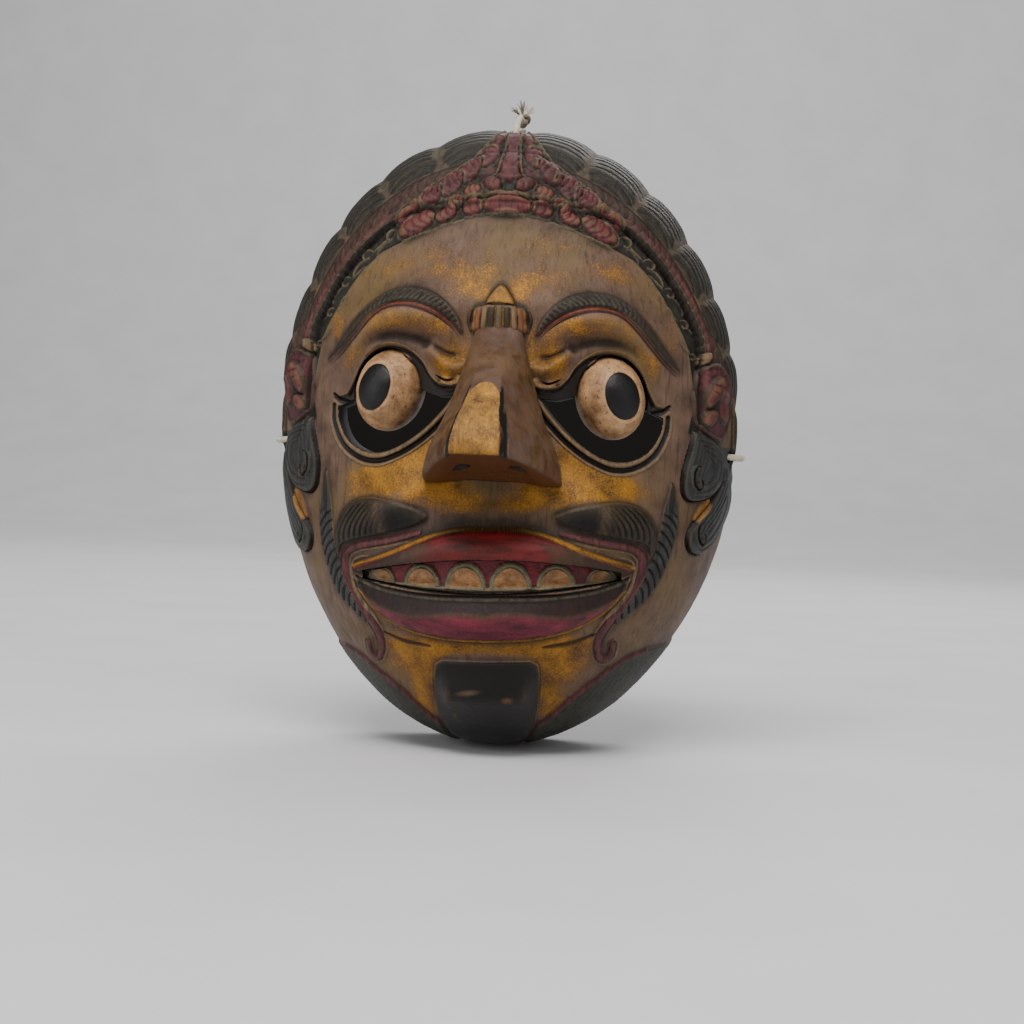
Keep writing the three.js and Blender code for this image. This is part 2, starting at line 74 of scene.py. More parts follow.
MOUTH_LEVEL = -43.0
MOUTH_HALF = 38.0
MOUTH_HEIGHT = 10.0
MOUTH_CORNER_HEIGHT = 2.4
MOUTH_TILT = 2.1
TEETH_RECESS = 3.0
TOOTH_PITCH = 13.0
TEETH_GAP = 0.3

NOSE_TOP = 30.0
NOSE_BASE = -17.0
NOSE_TOP_HALF = 6.5
NOSE_BASE_HALF = 20.5
NOSE_TIP_HALF = 6.6
NOSE_REACH = 35.0
NOSE_UNDERCUT = 0.22

CORD_RADIUS = 1.0
SIDES = {"left": -1, "right": 1}


def place(points):
    """Face millimetres to the frame's metres."""
    points = np.asarray(points, float)
    return (points - (0, 0, RIM_TOP)) * MM


# ---------------------------------------------------------------- lines and shapes


def smooth(low, high, value):
    """0 up to low, 1 from high on, with a soft step between."""
    t = np.clip((np.asarray(value, float) - low) / (high - low), 0, 1)
    return t * t * (3 - 2 * t)


def cos_sin(degrees):
    turn = math.radians(degrees)
    return math.cos(turn), math.sin(turn)


def joined_up(ring):
    """The ring of points with its first one again at the end."""
    return np.vstack([ring, ring[:1]])


def shifted(line, dx, dz):
    return np.add(line, (dx, dz))


def curve(points, fineness=6, closed=False):
    """A smooth line through the points."""
    p = np.asarray(points, float)
    before, after = (p[-1:], p[:2]) if closed else (2 * p[0] - p[1], 2 * p[-1] - p[-2])
    p = np.vstack([before, p, after])
    steps = np.linspace(0, 1, fineness, endpoint=False)[:, None]
    made = []
    for a, b, c, d in zip(p[:-3], p[1:-2], p[2:-1], p[3:]):
        made.append(0.5 * (2 * b + (c - a) * steps + (2 * a - 5 * b + 4 * c - d) * steps ** 2
                           + (3 * b - a - 3 * c + d) * steps ** 3))
    made.append(p[1:2] if closed else p[-2:-1])
    return np.vstack(made)


def follow(line, across, up):
    """How far each place is from the line, how far along it, and on which side (+ is left)."""
    best = np.full(across.shape, 1e9)
    along = np.zeros(across.shape)
    turned = np.zeros(across.shape)
    walked = 0.0
    for start, end in zip(line[:-1], line[1:]):
        step = end - start
        length = math.hypot(*step)
        if length < 1e-6:
            continue
        dx, dz = across - start[0], up - start[1]
        t = np.clip((dx * step[0] + dz * step[1]) / length ** 2, 0, 1)
        off = (dx - t * step[0]) ** 2 + (dz - t * step[1]) ** 2
        closer = off < best
        best[closer] = off[closer]
        along[closer] = walked + t[closer] * length
        turned[closer] = (step[0] * dz - step[1] * dx)[closer]
        walked += length
    return np.sqrt(best), along, np.sign(turned)


def depth_inside(shape, across, up):
    """Distance from the shape's edge, positive inside it."""
    ring = joined_up(shape)
    off, _, _ = follow(ring, across, up)
    inside = np.zeros(across.shape, bool)
    for (x0, z0), (x1, z1) in zip(ring[:-1], ring[1:]):
        if z0 == z1:
            continue
        crosses = (up >= min(z0, z1)) & (up < max(z0, z1))
        inside ^= crosses & (across < x0 + (up - z0) * (x1 - x0) / (z1 - z0))
    return np.where(inside, off, -off)


OVAL_POINTS, CURL_POINTS, CURL_END = 24, 18, 0.25


def oval(x, z, half_long, half_wide, lean):
    """An ellipse whose long side is turned by lean degrees from level."""
    turn = np.linspace(0, 2 * math.pi, OVAL_POINTS, endpoint=False)
    a, b = half_long * np.cos(turn), half_wide * np.sin(turn)
    c, s = cos_sin(lean)
    return np.stack([x + a * c - b * s, z + a * s + b * c], 1)


def curl(x, z, radius, start, turns):
    """A spiral that winds in from radius to its end share; negative turns wind clockwise."""
    t = np.linspace(0, 1, CURL_POINTS)
    turn = math.radians(start) + 2 * math.pi * turns * t
    reach = radius * (1 - (1 - CURL_END) * t)
    return np.stack([x + reach * np.cos(turn), z + reach * np.sin(turn)], 1)


# ---------------------------------------------------------------- the dome


def outline_radius(turn, grow=0.0):
    """How far the rim is from the oval's middle in the direction turn."""
    c, s = np.cos(turn), np.sin(turn)
    roundness = np.where(s > 0, np.where(c > 0, 1.95, 2.1), 2.0)
    rise = np.where(s > 0, CROWN_RISE, CHIN_DROP) + grow
    across = np.abs(c / (HALF_WIDTH + grow)) ** roundness
    upright = np.abs(s / rise) ** roundness
    return (across + upright) ** (-1 / roundness)


def roundness_at(turn):
    """The dome's exponent, which is higher, so squarer, towards the chin."""
    return DOME_ROUNDNESS + CHIN_ROUNDNESS * np.maximum(0, -np.sin(turn)) ** 6


def dome_point(turn, share, grow_out=0.0, grow_front=0.0):
    """Points of the dome; share runs from 0 at its middle to 1 at the rim."""
    n = roundness_at(turn)
    swing = share * math.pi / 2
    radius = outline_radius(turn, grow_out) * np.sin(swing) ** (2 / n)
    depth = (FACE_DEPTH + grow_front) * np.maximum(0, np.cos(swing)) ** (2 / n)
    depth = np.where(share >= 1, 0, depth)
    return np.stack([radius * np.cos(turn), -depth, CROWN_CENTRE + radius * np.sin(turn)], -1)


def dome_normal(turn, share):
    n = roundness_at(turn)
    swing = share * math.pi / 2
    outward = np.sin(swing) ** (2 - 2 / n) / outline_radius(turn)
    forward = np.maximum(0, np.cos(swing)) ** (2 - 2 / n) / FACE_DEPTH
    normal = np.stack([outward * np.cos(turn), -forward, outward * np.sin(turn)], -1)
    return normal / np.linalg.norm(normal, axis=-1, keepdims=True)


def dome_depth(x, z, grow_out=0.0, grow_front=0.0):
    """How far the dome stands in front of the rim at x and z."""
    x, z = np.asarray(x, float), np.asarray(z, float)
    turn = np.arctan2(z - CROWN_CENTRE, x)
    share = np.hypot(x, z - CROWN_CENTRE) / outline_radius(turn, grow_out)
    n = roundness_at(turn)
    return (FACE_DEPTH + grow_front) * np.maximum(0, 1 - share ** n) ** (1 / n)


def mound(x, z, middle_x, middle_z, half_x, half_z, lean=0.0):
    """A soft heap, 1 at its middle."""
    c, s = cos_sin(lean)
    dx, dz = x - middle_x, z - middle_z
    return np.exp(-((c * dx + s * dz) / half_x) ** 2 - ((-s * dx + c * dz) / half_z) ** 2)


# Broad forms: lift, middle x, middle z, half sizes, lean. All are on both sides of the face.
BROAD_FORMS = (
    (4.2, 29, 33, 19, 6, -12),  # brow ridge
    (-4.5, EYE[0], EYE[1] - 1, 15, 12, 0),  # eye hollow
    (2.5, 30, -19, 16, 8, 0),  # cheek
    (3.0, 33, -24, 14, 5, -25),  # moustache
    (7.0, 0, MOUTH_LEVEL - 1, 42, 17, 0),  # the mouth's swelling
    (2.0, 0, -34, 34, 3.5, 0),  # upper lip
    (2.5, 0, -54, 28, 5, 0),  # lower lip
    (2.0, 0, -64, 26, 7, 0),  # under the lower lip
    (2.6, 0, -78, 17, 12, 0),  # chin
    (2.5, 0, 33, 8, 7, 0),  # brow ornament
    (1.0, 63, 12, 6, 9, 0),  # rosette by the ear
    (1.4, 63, -16, 5, 13, 0),  # curled lock below it
    (3.0, 0, 72, 11, 12, 0),  # diadem peak
)


def broad_relief(x, z, share):
    """The height of the broad forms and of the diadem's band over the dome."""
    side = np.abs(x)
    height = sum(lift * mound(side, z, *rest) for lift, *rest in BROAD_FORMS)
    band = smooth(0.6, 0.68, share) * (1 - smooth(0.86, 0.9, share))
    height += 1.6 * smooth(8, 24, z) * band
    return height * (1 - smooth(0.9, 1, share))


WAVES = 10


def ripples(x, y, z, seed, size):
    """A gentle random swell, about size across, from a few sine waves."""
    random = np.random.default_rng(seed)
    total = np.zeros(x.shape)
    for _ in range(WAVES):
        way = random.normal(size=3)
        way *= 2 * math.pi / size / np.linalg.norm(way) * random.uniform(0.6, 1.5)
        total += np.sin(way[0] * x + way[1] * y + way[2] * z + random.uniform(0, 6.28))
    return total / WAVES


class Front:
    """The carved front: a grid of places on the dome with a height and paints."""

    def __init__(self, columns, rows):
        self.columns, self.rows = columns, rows
        turns = np.arange(columns) * 2 * math.pi / columns
        shares = (np.arange(rows) + 1) / rows
        self.turn, self.share = (a.ravel() for a in np.meshgrid(turns, shares))
        points = dome_point(self.turn, self.share)
        self.x, self.z = points[:, 0], points[:, 2]
        self.side = np.abs(self.x)
        # The lower face is carved a little askew.
        lower_face = smooth(-12, -28, self.z) * smooth(95, 70, -self.z)
        askew = math.tan(math.radians(MOUTH_TILT)) * lower_face
        self.level = self.z - askew * self.x
        self.height = broad_relief(self.x, self.level, self.share)
        self.paint = {}

    def cover(self, name, amount, where=slice(None)):
        """A coat of paint over what lies below it."""
        for coat in self.paint.values():
            coat[where] *= 1 - amount
        coat = self.paint.setdefault(name, np.zeros(self.x.size))
        coat[where] += amount

    def around(self, line, reach):
        """Which places lie in the line's box, grown by reach."""
        low, high = line.min(0) - reach, line.max(0) + reach
        return np.nonzero((self.side > low[0]) & (self.side < high[0])
                          & (self.level > low[1]) & (self.level < high[1]))[0]

    def bead(self, points, half, lift, paint=None, taper=0.0, smooth_line=True):
        """A raised line, or with a negative lift a cut one, on both sides of the face."""
        line = curve(points) if smooth_line else np.asarray(points, float)
        where = self.around(line, 2 * half + 1)
        off, along, _ = follow(line, self.side[where], self.level[where])
        length = np.linalg.norm(np.diff(line, axis=0), axis=1).sum()
        width = half * (1 - taper * np.abs(2 * along / length - 1) ** 2)
        round_top = np.clip(1 - (off / np.maximum(width, 0.05)) ** 2, 0, 1)
        self.height[where] += lift * round_top ** (0.5 if lift > 0 else 1) * smooth(0, 0.3, width)
        if paint:
            self.cover(paint, smooth(0.25, -0.2, off - width), where)

    def swell(self, points, half, lift, ends=0.5):
        """A soft raised fold along a line."""
        line = curve(points)
        where = self.around(line, 2.2 * half)
        off, along, _ = follow(line, self.side[where], self.level[where])
        length = along.max()
        rise = smooth(-0.1, ends * length / 2, along)
        fall = smooth(length + 0.1, length * (1 - ends / 2), along)
        self.height[where] += lift * (rise * fall) * np.exp(-(off / half) ** 2)

    def patch(self, points, lift, soft, paint=None, crown=0.0, smooth_line=True):
        """A raised patch with a soft edge; crown rounds its top. Gives where it is and how deep."""
        shape = curve(points, closed=True)[:-1] if smooth_line else np.asarray(points, float)
        where = self.around(shape, soft + 1)
        depth = depth_inside(shape, self.side[where], self.level[where])
        self.height[where] += lift * smooth(-soft / 2, soft / 2, depth)
        inwards = np.clip(depth / max(depth.max(), 0.1), 0, 1)
        self.height[where] += crown * np.sqrt(inwards * (2 - inwards))
        if paint:
            self.cover(paint, smooth(-0.2, 0.25, depth), where)
        return where, depth

    def hatch(self, where, phase, depth, amount=1.0):
        """Cut lines wherever the phase passes a whole number."""
        cut = np.clip(1 - np.abs((phase + 0.5) % 1 - 0.5) * 4.5, 0, 1)
        self.height[where] -= depth * amount * cut
        return cut * amount


FRONT_COLUMNS, FRONT_ROWS = 1440, 330
front = Front(FRONT_COLUMNS, FRONT_ROWS)
side, level, share = front.side, front.level, front.share
bearing = np.degrees(np.arctan2(level - CROWN_CENTRE, side))

# ---------------------------------------------------------------- hair, rope and leaf bands

FACE_EDGE = ((-20, 63), (0, 63), (12.7, 61.5), (20, 59.3), (25.6, 56.8), (31, 54.6), (37.5, 51.6),
             (42.7, 46.6), (46.8, 41), (50.6, 33.6), (54.4, 26), (56, 19), (57, 11), (57, 6.5),
             (55.6, -1), (54.4, -6), (54.8, -11), (57.5, -14.8), (55.4, -20), (56.5, -30), (64, -34),
             (74, -36), (74, -112), (-20, -112))
DARK_LINE = ((-20, 68), (12, 67), (22, 66.4), (29, 64), (35.4, 61.2), (42.4, 54.8), (47.8, 48.6),
             (53, 40), (57, 31), (58.4, 24), (58.9, 17), (59.4, 4))
HAIR_VALLEYS = (-24, -10, 4, 18, 32, 46, 59.7, 73.5, 88)
HAIR_EDGE = ((-20, 2, 6, 11, 19, 25, 80, 90), (0.86, 0.82, 0.79, 0.73, 0.70, 0.66, 0.61, 0.60))
HAIR_LINE_PITCH, HAIR_LINE_DEPTH = 2.9, 0.5
HAIR_LIFT, HAIR_FALL = 0.9, 5.4  # at its inner edge, and how far it drops towards the rim
LOBE_LIFT, LOBE_GROWTH, LOBE_REACH = 0.5, 1.3, 3.2
SCALE_PITCH, SCALE_DEPTH = 2.4, 0.22  # degrees apart along the rope
RIM_ARC = FACE_DEPTH * math.pi / 2

hair_edge = np.interp(bearing, *HAIR_EDGE)
lobe = np.interp(bearing, HAIR_VALLEYS, np.arange(len(HAIR_VALLEYS))) % 1
bulge = 1 - np.abs(2 * lobe - 1) ** 2.4
valley = 1 - smooth(0.0, 0.46, np.minimum(lobe, 1 - lobe) * 2 + 0.08 * np.sin(share * 70))
hair_reach = smooth(-13, -8, bearing)

face_depth = depth_inside(np.array(FACE_EDGE, float), side, level)
line_ring = np.array(DARK_LINE + ((59.4, -112), (-20, -112)), float)
inside_line = depth_inside(line_ring, side, level)

hair = smooth(-0.004, 0.004, share - hair_edge) * hair_reach
outward = np.clip((share - hair_edge) / (1 - hair_edge), 0, 1)
lobes = bulge * (LOBE_LIFT + LOBE_GROWTH * outward)
front.height += hair * (HAIR_LIFT + lobes - HAIR_FALL * outward ** 1.3)
front.cover("hair", hair)
from_rim = (1 - share) * RIM_ARC + LOBE_REACH * bulge
combed = hair * (1 - 0.85 * valley)
front.hatch(slice(None), from_rim / HAIR_LINE_PITCH, HAIR_LINE_DEPTH, combed)
front.cover("olive", 0.62 * hair * valley * smooth(1.0, 0.8, outward))

rope = (1 - hair) * smooth(0.2, -0.2, inside_line) * smooth(10, 14, level)
rope_start = np.interp(bearing, (0, 20, 45, 60, 80, 90), (0.62, 0.58, 0.545, 0.55, 0.52, 0.52))
across_rope = np.clip((share - rope_start) / (hair_edge - rope_start), 0, 1)
front.height += rope * (0.4 + 1.1 * np.sqrt(np.clip(4 * across_rope * (1 - across_rope), 0, 1)))
front.cover("rope", rope)
scale_phase = bearing / SCALE_PITCH + 1.2 * (1 - (2 * across_rope - 1) ** 2)
on_rope = rope * smooth(0.05, 0.2, across_rope) * smooth(1, 0.85, across_rope)
front.cover("olive", 0.35 * front.hatch(slice(None), scale_phase, SCALE_DEPTH, on_rope))

leaf = smooth(0.2, -0.2, face_depth) * smooth(-0.2, 0.2, inside_line)
leaf = leaf * (1 - hair) * smooth(-2, 4, level)
front.cover("leaf", leaf)
front.height -= 0.9 * leaf * smooth(0, -1.5, face_depth)
# Scrolls on the leaf band: x, z, radius, start in degrees.
SCROLLS = ((35.5, 57.2, 2.5, 150), (43, 51.2, 2.3, 140), (49.4, 43, 2.1, 130), (53.8, 33.6, 1.8, 120),
           (56.8, 24, 1.2, 110))
for x, z, radius, start in SCROLLS:
    front.bead(curl(x, z, radius, start, -0.8), 0.45, 0.5, "olive", taper=0.5)
    tail = ((x - 0.9 * radius, z + 0.5 * radius), (x - 1.0 * radius - 1.5, z + radius + 0.6),
            (x - 1.2 * radius - 4.2, z + 1.2 * radius + 3.0))
    front.bead(tail, 0.45, 0.5, "olive", taper=0.8)
    front.bead(oval(x + 2.2, z - radius - 1.6, 3.0, 1.2, -54)[:13], 0.4, 0.4, "olive", taper=0.5)
front.bead(shifted(FACE_EDGE[2:13], 0.2, 0), 0.35, 0.3, "olive")
front.bead(DARK_LINE[3:], 0.5, -0.8, "black")
front.bead(shifted(DARK_LINE[3:10], 1.3, 1.0), 0.4, 0.3, "maroon")

# ---------------------------------------------------------------- diadem peak and petals

PEAK = ((-4, 93), (1.2, 92.6), (3.8, 91), (7.8, 84.5), (12.3, 79.4), (18.2, 74.6), (22.8, 72),
        (29, 65.4), (22, 65.2), (12, 66), (-4, 66))
front.patch(PEAK, 1.2, 1.0, "maroon", smooth_line=False)
PETAL_BED = ((-4, 68.4), (10, 67.6), (22, 66), (31, 62), (35, 57.6), (31, 54.9), (25.6, 57), (12.7, 61.9),
             (-4, 63.2))
front.patch(PETAL_BED, 0.5, 1.0, "leaf")
# Petals: x, z, half length, half width, lean, crown, number of cut arcs, paint.
PETALS = (
    (6.6, 79.6, 4.4, 2.8, -62, 1.2, 5, "maroon"),
    (11.8, 75.2, 4.4, 2.9, -50, 1.3, 5, "maroon"),
    (17.4, 71.4, 4.4, 2.9, -40, 1.3, 5, "maroon"),
    (23.4, 67.8, 4.2, 2.6, -38, 1.2, 5, "maroon"),
    (4.0, 86.0, 2.8, 1.3, -64, 0.7, 0, "maroon"),
    (4.6, 70.6, 3.0, 1.9, 25, 1.3, 2, "maroon"),
    (10.6, 69.2, 2.6, 1.9, -10, 1.0, 3, "red_petal"),
    (15.6, 66.4, 2.5, 1.9, -30, 1.0, 3, "red_petal"),
    (27.2, 60.4, 6.4, 3.0, -34, 1.6, 5, "red_petal"),
    (30.2, 64.0, 4.4, 1.7, -38, 1.2, 3, "red_petal"),
    (18.4, 63.4, 3.6, 2.1, -32, 1.3, 4, "red_petal"),
    (10.2, 65.0, 3.4, 2.1, -8, 1.2, 3, "red_petal"),
    (0.0, 65.2, 7.4, 2.3, 0, 1.4, 0, "red_petal"),
)
for x, z, long, wide, lean, crown, arcs, paint in PETALS:
    border = joined_up(oval(x, z, long + 0.5, wide + 0.5, lean))
    front.bead(border, 0.4, 0.3, "olive", smooth_line=False)
    petal = oval(x, z, long, wide, lean)
    where, depth = front.patch(petal, 0.3, 0.6, paint, crown=crown, smooth_line=False)
    if arcs:
        c, s = cos_sin(lean)
        u = ((side[where] - x) * c + (level[where] - z) * s) / long
        v = (-(side[where] - x) * s + (level[where] - z) * c) / wide
        phase = arcs * (0.5 * u + 0.5 + 0.22 * v ** 2)
        cut = front.hatch(where, phase, 0.28, smooth(0, 0.5, depth))
        front.cover("olive", 0.45 * cut, where)
PEAK_RIDGE = ((-4, 88.6), (1.3, 88.4), (1.7, 82), (2.6, 74.4), (3.4, 72.4), (-4, 72.4))
front.patch(PEAK_RIDGE, 1.0, 0.7, "maroon")
front.bead(((1.9, 89.4), (2.3, 82), (3.2, 75), (4.6, 72.6)), 0.5, 0.7, "olive", taper=0.2)
front.bead(PEAK[2:8], 0.55, 0.7, "olive")
front.patch(oval(0, 69.6, 2.4, 1.5, 0), -0.5, 0.8, "leaf")

# ---------------------------------------------------------------- rosettes and curled locks

ROSETTE = ((58.4, 20), (61.4, 21.6), (64.8, 18.4), (67.4, 12), (68, 6), (65.6, 0.4), (61.4, 1.6), (58.2, 5),
           (57.4, 12))
front.patch(ROSETTE, 0.6, 1.2, "maroon", crown=0.2)
front.bead(ROSETTE + ROSETTE[:1], 0.55, 0.6, "rope")
for shape in ((61.4, 13.6, 4.6, 1.7, 78), (64.6, 9.6, 4.8, 1.6, 104), (61.2, 6.2, 2.6, 1.7, 60)):
    petal = oval(*shape)
    front.patch(petal, 0.3, 0.6, "red_petal", crown=0.9, smooth_line=False)
    front.bead(joined_up(petal), 0.4, 0.3, "rope", smooth_line=False)
front.patch(oval(58.8, 23.4, 1.8, 1.2, 75), 0.4, 0.6, "bone", crown=1.3, smooth_line=False)

LOCKS = (  # each lock's outline and the middle of its curl
    (((57.4, 1.2), (60.6, 0.8), (64.6, -2), (66.8, -6.4), (65.6, -12.4), (61.8, -17.6), (57.2, -19.6),
      (54.6, -17.4), (54.4, -11.8), (55.8, -6)), (57.4, -13.6)),
    (((66.8, -8), (69.4, -12), (70, -19), (68, -27), (64.6, -33.4), (60.4, -36.6), (57, -35.6), (56, -31.8),
      (58, -27.4), (61.2, -21.6), (64.4, -14.6)), (59.2, -31.8)),
)
for outline, (curl_x, curl_z) in LOCKS:
    where, depth = front.patch(outline, 1.0, 1.3, "slate", crown=0.7)
    u, v = side[where] - curl_x, level[where] - curl_z
    phase = (depth + 0.30 * u - 0.10 * v) / 1.25
    cut = front.hatch(where, phase, 0.35, smooth(0.4, 1.2, depth) * smooth(-1.5, 1.0, u))
    front.cover("hair", 0.75 * cut, where)
    hook = curl(0, 0, 2.3, 95, 0.8) * (0.85, 1.9) + (curl_x + 0.4, curl_z + 1.2)
    front.bead(hook, 0.5, 0.5, "slate", taper=0.3)
    front.bead(shifted(hook, 0.9, -0.2), 0.4, -0.9, "black", taper=0.5)
    front.bead(np.vstack([outline[4:], outline[:1]]), 0.4, -0.9, "black")
LOCK_CHIP = ((60.6, -18.6), (62.4, -19.2), (60.8, -23.6), (58.6, -26.6), (58.2, -24.8))
front.patch(LOCK_CHIP, 0.6, 0.6, "gold")
beside_locks = smooth(64, 67, side) * smooth(0, -4, level) * smooth(-30, -26, level)
front.cover("slate", beside_locks * 0.9)

# ---------------------------------------------------------------- brows and lids

BROW_LOWER = ((11.4, 27.6), (14, 30.4), (19, 33.4), (26, 35.2), (32, 34.6), (37, 31.4), (43, 26.4),
              (52, 19.4))
BROW_UPPER = ((52, 20.2), (48, 24.4), (43.4, 29.4), (38, 34.8), (32.6, 38.8), (26.4, 39.8), (19.4, 38.0),
              (13.8, 33.6), (11, 28.6))
brow_line = curve(BROW_LOWER)
where, depth = front.patch(BROW_LOWER + BROW_UPPER, 0.9, 0.8, "hair", crown=0.5)
off, along, _ = follow(brow_line, side[where], level[where])
combed = smooth(0.1, 0.5, depth) * smooth(44, 34, side[where])
cut = front.hatch(where, (along + 0.55 * off) / 1.5, 0.4, combed)
front.cover("slate", 0.65 * cut * smooth(0.8, 2.2, off), where)
front.bead(BROW_UPPER[1:], 0.3, 0.25, "slate", taper=0.5)
front.bead(shifted(BROW_LOWER[:6], 0, -0.75), 0.5, 0.35, "orange_line", taper=0.8)
front.bead(shifted(BROW_LOWER, 0.2, -1.7), 0.4, -0.35, "maroon", taper=0.8)
BROW_RIDGE = ((11.5, 23.4), (16, 27.0), (22.6, 29.8), (29, 30.4), (35, 28.6), (41.4, 23.4), (49.6, 15.0))
front.swell(BROW_RIDGE, 3.2, 2.3)
front.swell(((15, 19.5), (19.6, 22.6), (25, 25.4), (32, 26.2), (38.6, 24.2), (44.4, 18.6)), 1.5, -1.2)
SWIRL = ((21.6, 24.4), (18, 20), (14.8, 17.4), (11.2, 17.4), (9.8, 19.8))
front.swell(SWIRL, 2.0, 1.7, 0.3)
front.swell(((21.4, 25.0), (17.6, 22.4), (14.2, 21.0), (11.4, 21.6)), 0.8, -0.9, 0.6)
front.swell(((17.4, 13.6), (14, 11.6), (11.4, 12.6), (10.6, 15)), 1.3, 1.3, 0.3)
front.bead(((18.6, 15.0), (15.2, 13.4), (12.6, 14.0)), 0.4, -0.7, "black", taper=0.8)

LID_OUTER = ((9.6, 12.8), (13.4, 12.0), (17.4, 12.6), (20.6, 15.2), (23.2, 19.4), (27.6, 22.8), (33, 23.9),
             (38, 22.2), (42.0, 18.0), (44.9, 12.8), (46.8, 9.2), (51, 8))
LID_INNER = ((47.8, 5.6), (44.6, 7), (42.6, 12), (39.6, 17.8), (35, 21.4), (30, 21.8), (26.6, 19.8),
             (25.6, 14), (25, 7), (20.4, 8.2), (16.6, 8.0), (12.4, 8.4), (10, 9.6))
# The lid over each eyeball: dark paint and painted shade over the socket.
front.patch(LID_OUTER + LID_INNER, -0.7, 0.9, "lid_paint_and_shade")
front.bead(LID_OUTER, 0.42, 0.6, "bone", taper=0.5)
front.bead(shifted(LID_OUTER[1:11], 0, -1.0), 0.5, -0.4, "black", taper=0.3)

SLOT_LOWER = ((12.6, 9.2), (15.6, 5), (20.6, -0.4), (25.5, -4.4), (30.4, -7.2), (35, -8.4), (40, -7.7),
              (44.7, -4.6), (47.7, 0.6), (48.4, 5.0))
RIM_OFFSETS = ((-0.6, -0.9), (-0.7, -0.8), (-0.5, -0.9), (-0.3, -1.0), (-0.2, -1.0), (0, -1.1), (0.4, -1.0),
               (0.8, -0.7), (1.0, -0.1), (1.0, 0.3))


def beside_slot(steps):
    """A line that many steps outside the slot's lower edge."""
    return np.add(SLOT_LOWER, np.multiply(steps, RIM_OFFSETS))


front.bead(beside_slot(0.8), 0.7, 0.7, "bone", taper=0.3)
front.bead(beside_slot(2.2), 0.75, -0.8, "black", taper=0.3)
front.bead(beside_slot(3.4), 0.35, 0.35, "bone", taper=0.6)
front.bead(((46.4, 6.6), (49, 7.4), (50.8, 8.8)), 0.5, -0.8, "black")

# ---------------------------------------------------------------- brow ornament

ORNAMENT = ((-4, 27.6), (7.0, 27.6), (7.6, 31), (7.2, 33.6), (4.6, 34.6), (3.4, 37), (1.0, 40.8),
            (-1.0, 40.8), (-4, 36))
front.patch(ORNAMENT, 1.3, 1.0, "gold", crown=0.7)
for x, paint in ((0.0, "olive"), (2.3, "leaf"), (4.4, "bone"), (6.2, "orange_line")):
    front.bead(((x, 27.6), (x * 0.98, 30.4), (x * 0.92, 33.4)), 0.85, 0.8, paint)
front.bead(((0, 34.3), (3.4, 34.2), (7, 33.8)), 0.4, 0.4, "bone")
front.bead(((0, 35.0), (3.8, 34.9)), 0.35, -0.5, "brown")
front.bead(((8.3, 27.8), (8.9, 31), (8.2, 33.6)), 0.6, 0.4, "brown", taper=0.5)

# ---------------------------------------------------------------- mouth, moustache and chin

LIP_TOP = ((-6, -29.6), (6, -29.6), (13, -30.4), (20, -32.4), (27, -35.2), (33, -37.4), (38, -39.0),
           (40.6, -40))
LIP_PARTING = ((38, -41), (28, -39.8), (16, -38.9), (0, -38.6), (-6, -38.6))
where, depth = front.patch(LIP_TOP + LIP_PARTING, 0.6, 1.0, "crimson", crown=1.4, smooth_line=False)
front.bead(shifted(LIP_TOP, 0, 0.5), 0.55, 0.6, "gold", taper=0.3)
# Painted shade on the upper lip, deeper towards its corners.
uneven = 1.5 * ripples(front.x[where], 0 * side[where], level[where], 15, 5)
shadow = smooth(0, 34, side[where] + uneven) * smooth(0, 0.6, depth)
front.cover("lip_painted_shade", 0.8 * shadow, where)
LIP_LOWER_TOP = ((-6, -47.0), (10, -46.9), (20, -46.2), (30, -44.6), (38, -42.2), (40, -41.2))
LIP_LOWER_EDGE = ((38.4, -45.8), (33.4, -51), (26, -55.6), (18, -58.4), (8, -59.8), (-6, -60))
LIP_LOWER = LIP_LOWER_TOP + LIP_LOWER_EDGE
where, depth = front.patch(LIP_LOWER, 0.5, 1.0, "lip", crown=0.9, smooth_line=False)
shelf = follow(np.array(LIP_LOWER_TOP, float), side[where], level[where])[0]
# Painted shade on the lower lip, along its top under the mouth's opening.
shadow = smooth(0, 0.4, depth) * smooth(9.4, 3.0, shelf + 0.8 * np.sin(side[where] / 5))
front.cover("lip_painted_shade", shadow, where)
front.height[where] -= 1.5 * smooth(7.0, 1, shelf) * smooth(0, 0.8, depth)
front.bead(shifted(LIP_LOWER_TOP, 0, -1.5), 0.5, 0.4, "olive")
front.bead(shifted(LIP_LOWER_EDGE, 0, -0.4), 0.4, 0.4, "gold", taper=0.4)

MOUTH_BAND = ((20.4, -29.9), (24, -30.7), (29, -31.8), (34, -32.6), (39, -33.6), (42.2, -35.6), (43.2, -39),
              (42.2, -44), (39.2, -49), (35.4, -53.4), (32.4, -58.4), (31.4, -63), (32.6, -67), (35.2, -66.4),
              (35.9, -62.4))
front.bead(MOUTH_BAND, 1.25, 0.8, "maroon", taper=0.3)
band_line = curve(MOUTH_BAND)
where = front.around(band_line, 4)
off, along, turned = follow(band_line, side[where], level[where])
edge = smooth(0.5, 0.15, np.abs(off - 1.6)) * smooth(0, 3, along)
front.height[where] += 0.25 * edge
front.cover("bone", 0.7 * edge * (turned < 0), where)
front.cover("rope", 0.8 * edge * (turned > 0), where)
INNER_FILLET = ((35, -36.4), (38.0, -36.8), (40.2, -38.0), (40.9, -40.6), (40.0, -45.0), (37, -49.6),
                (33, -54), (30.4, -58))
front.bead(INNER_FILLET, 0.5, 0.4, "bone", taper=0.7)

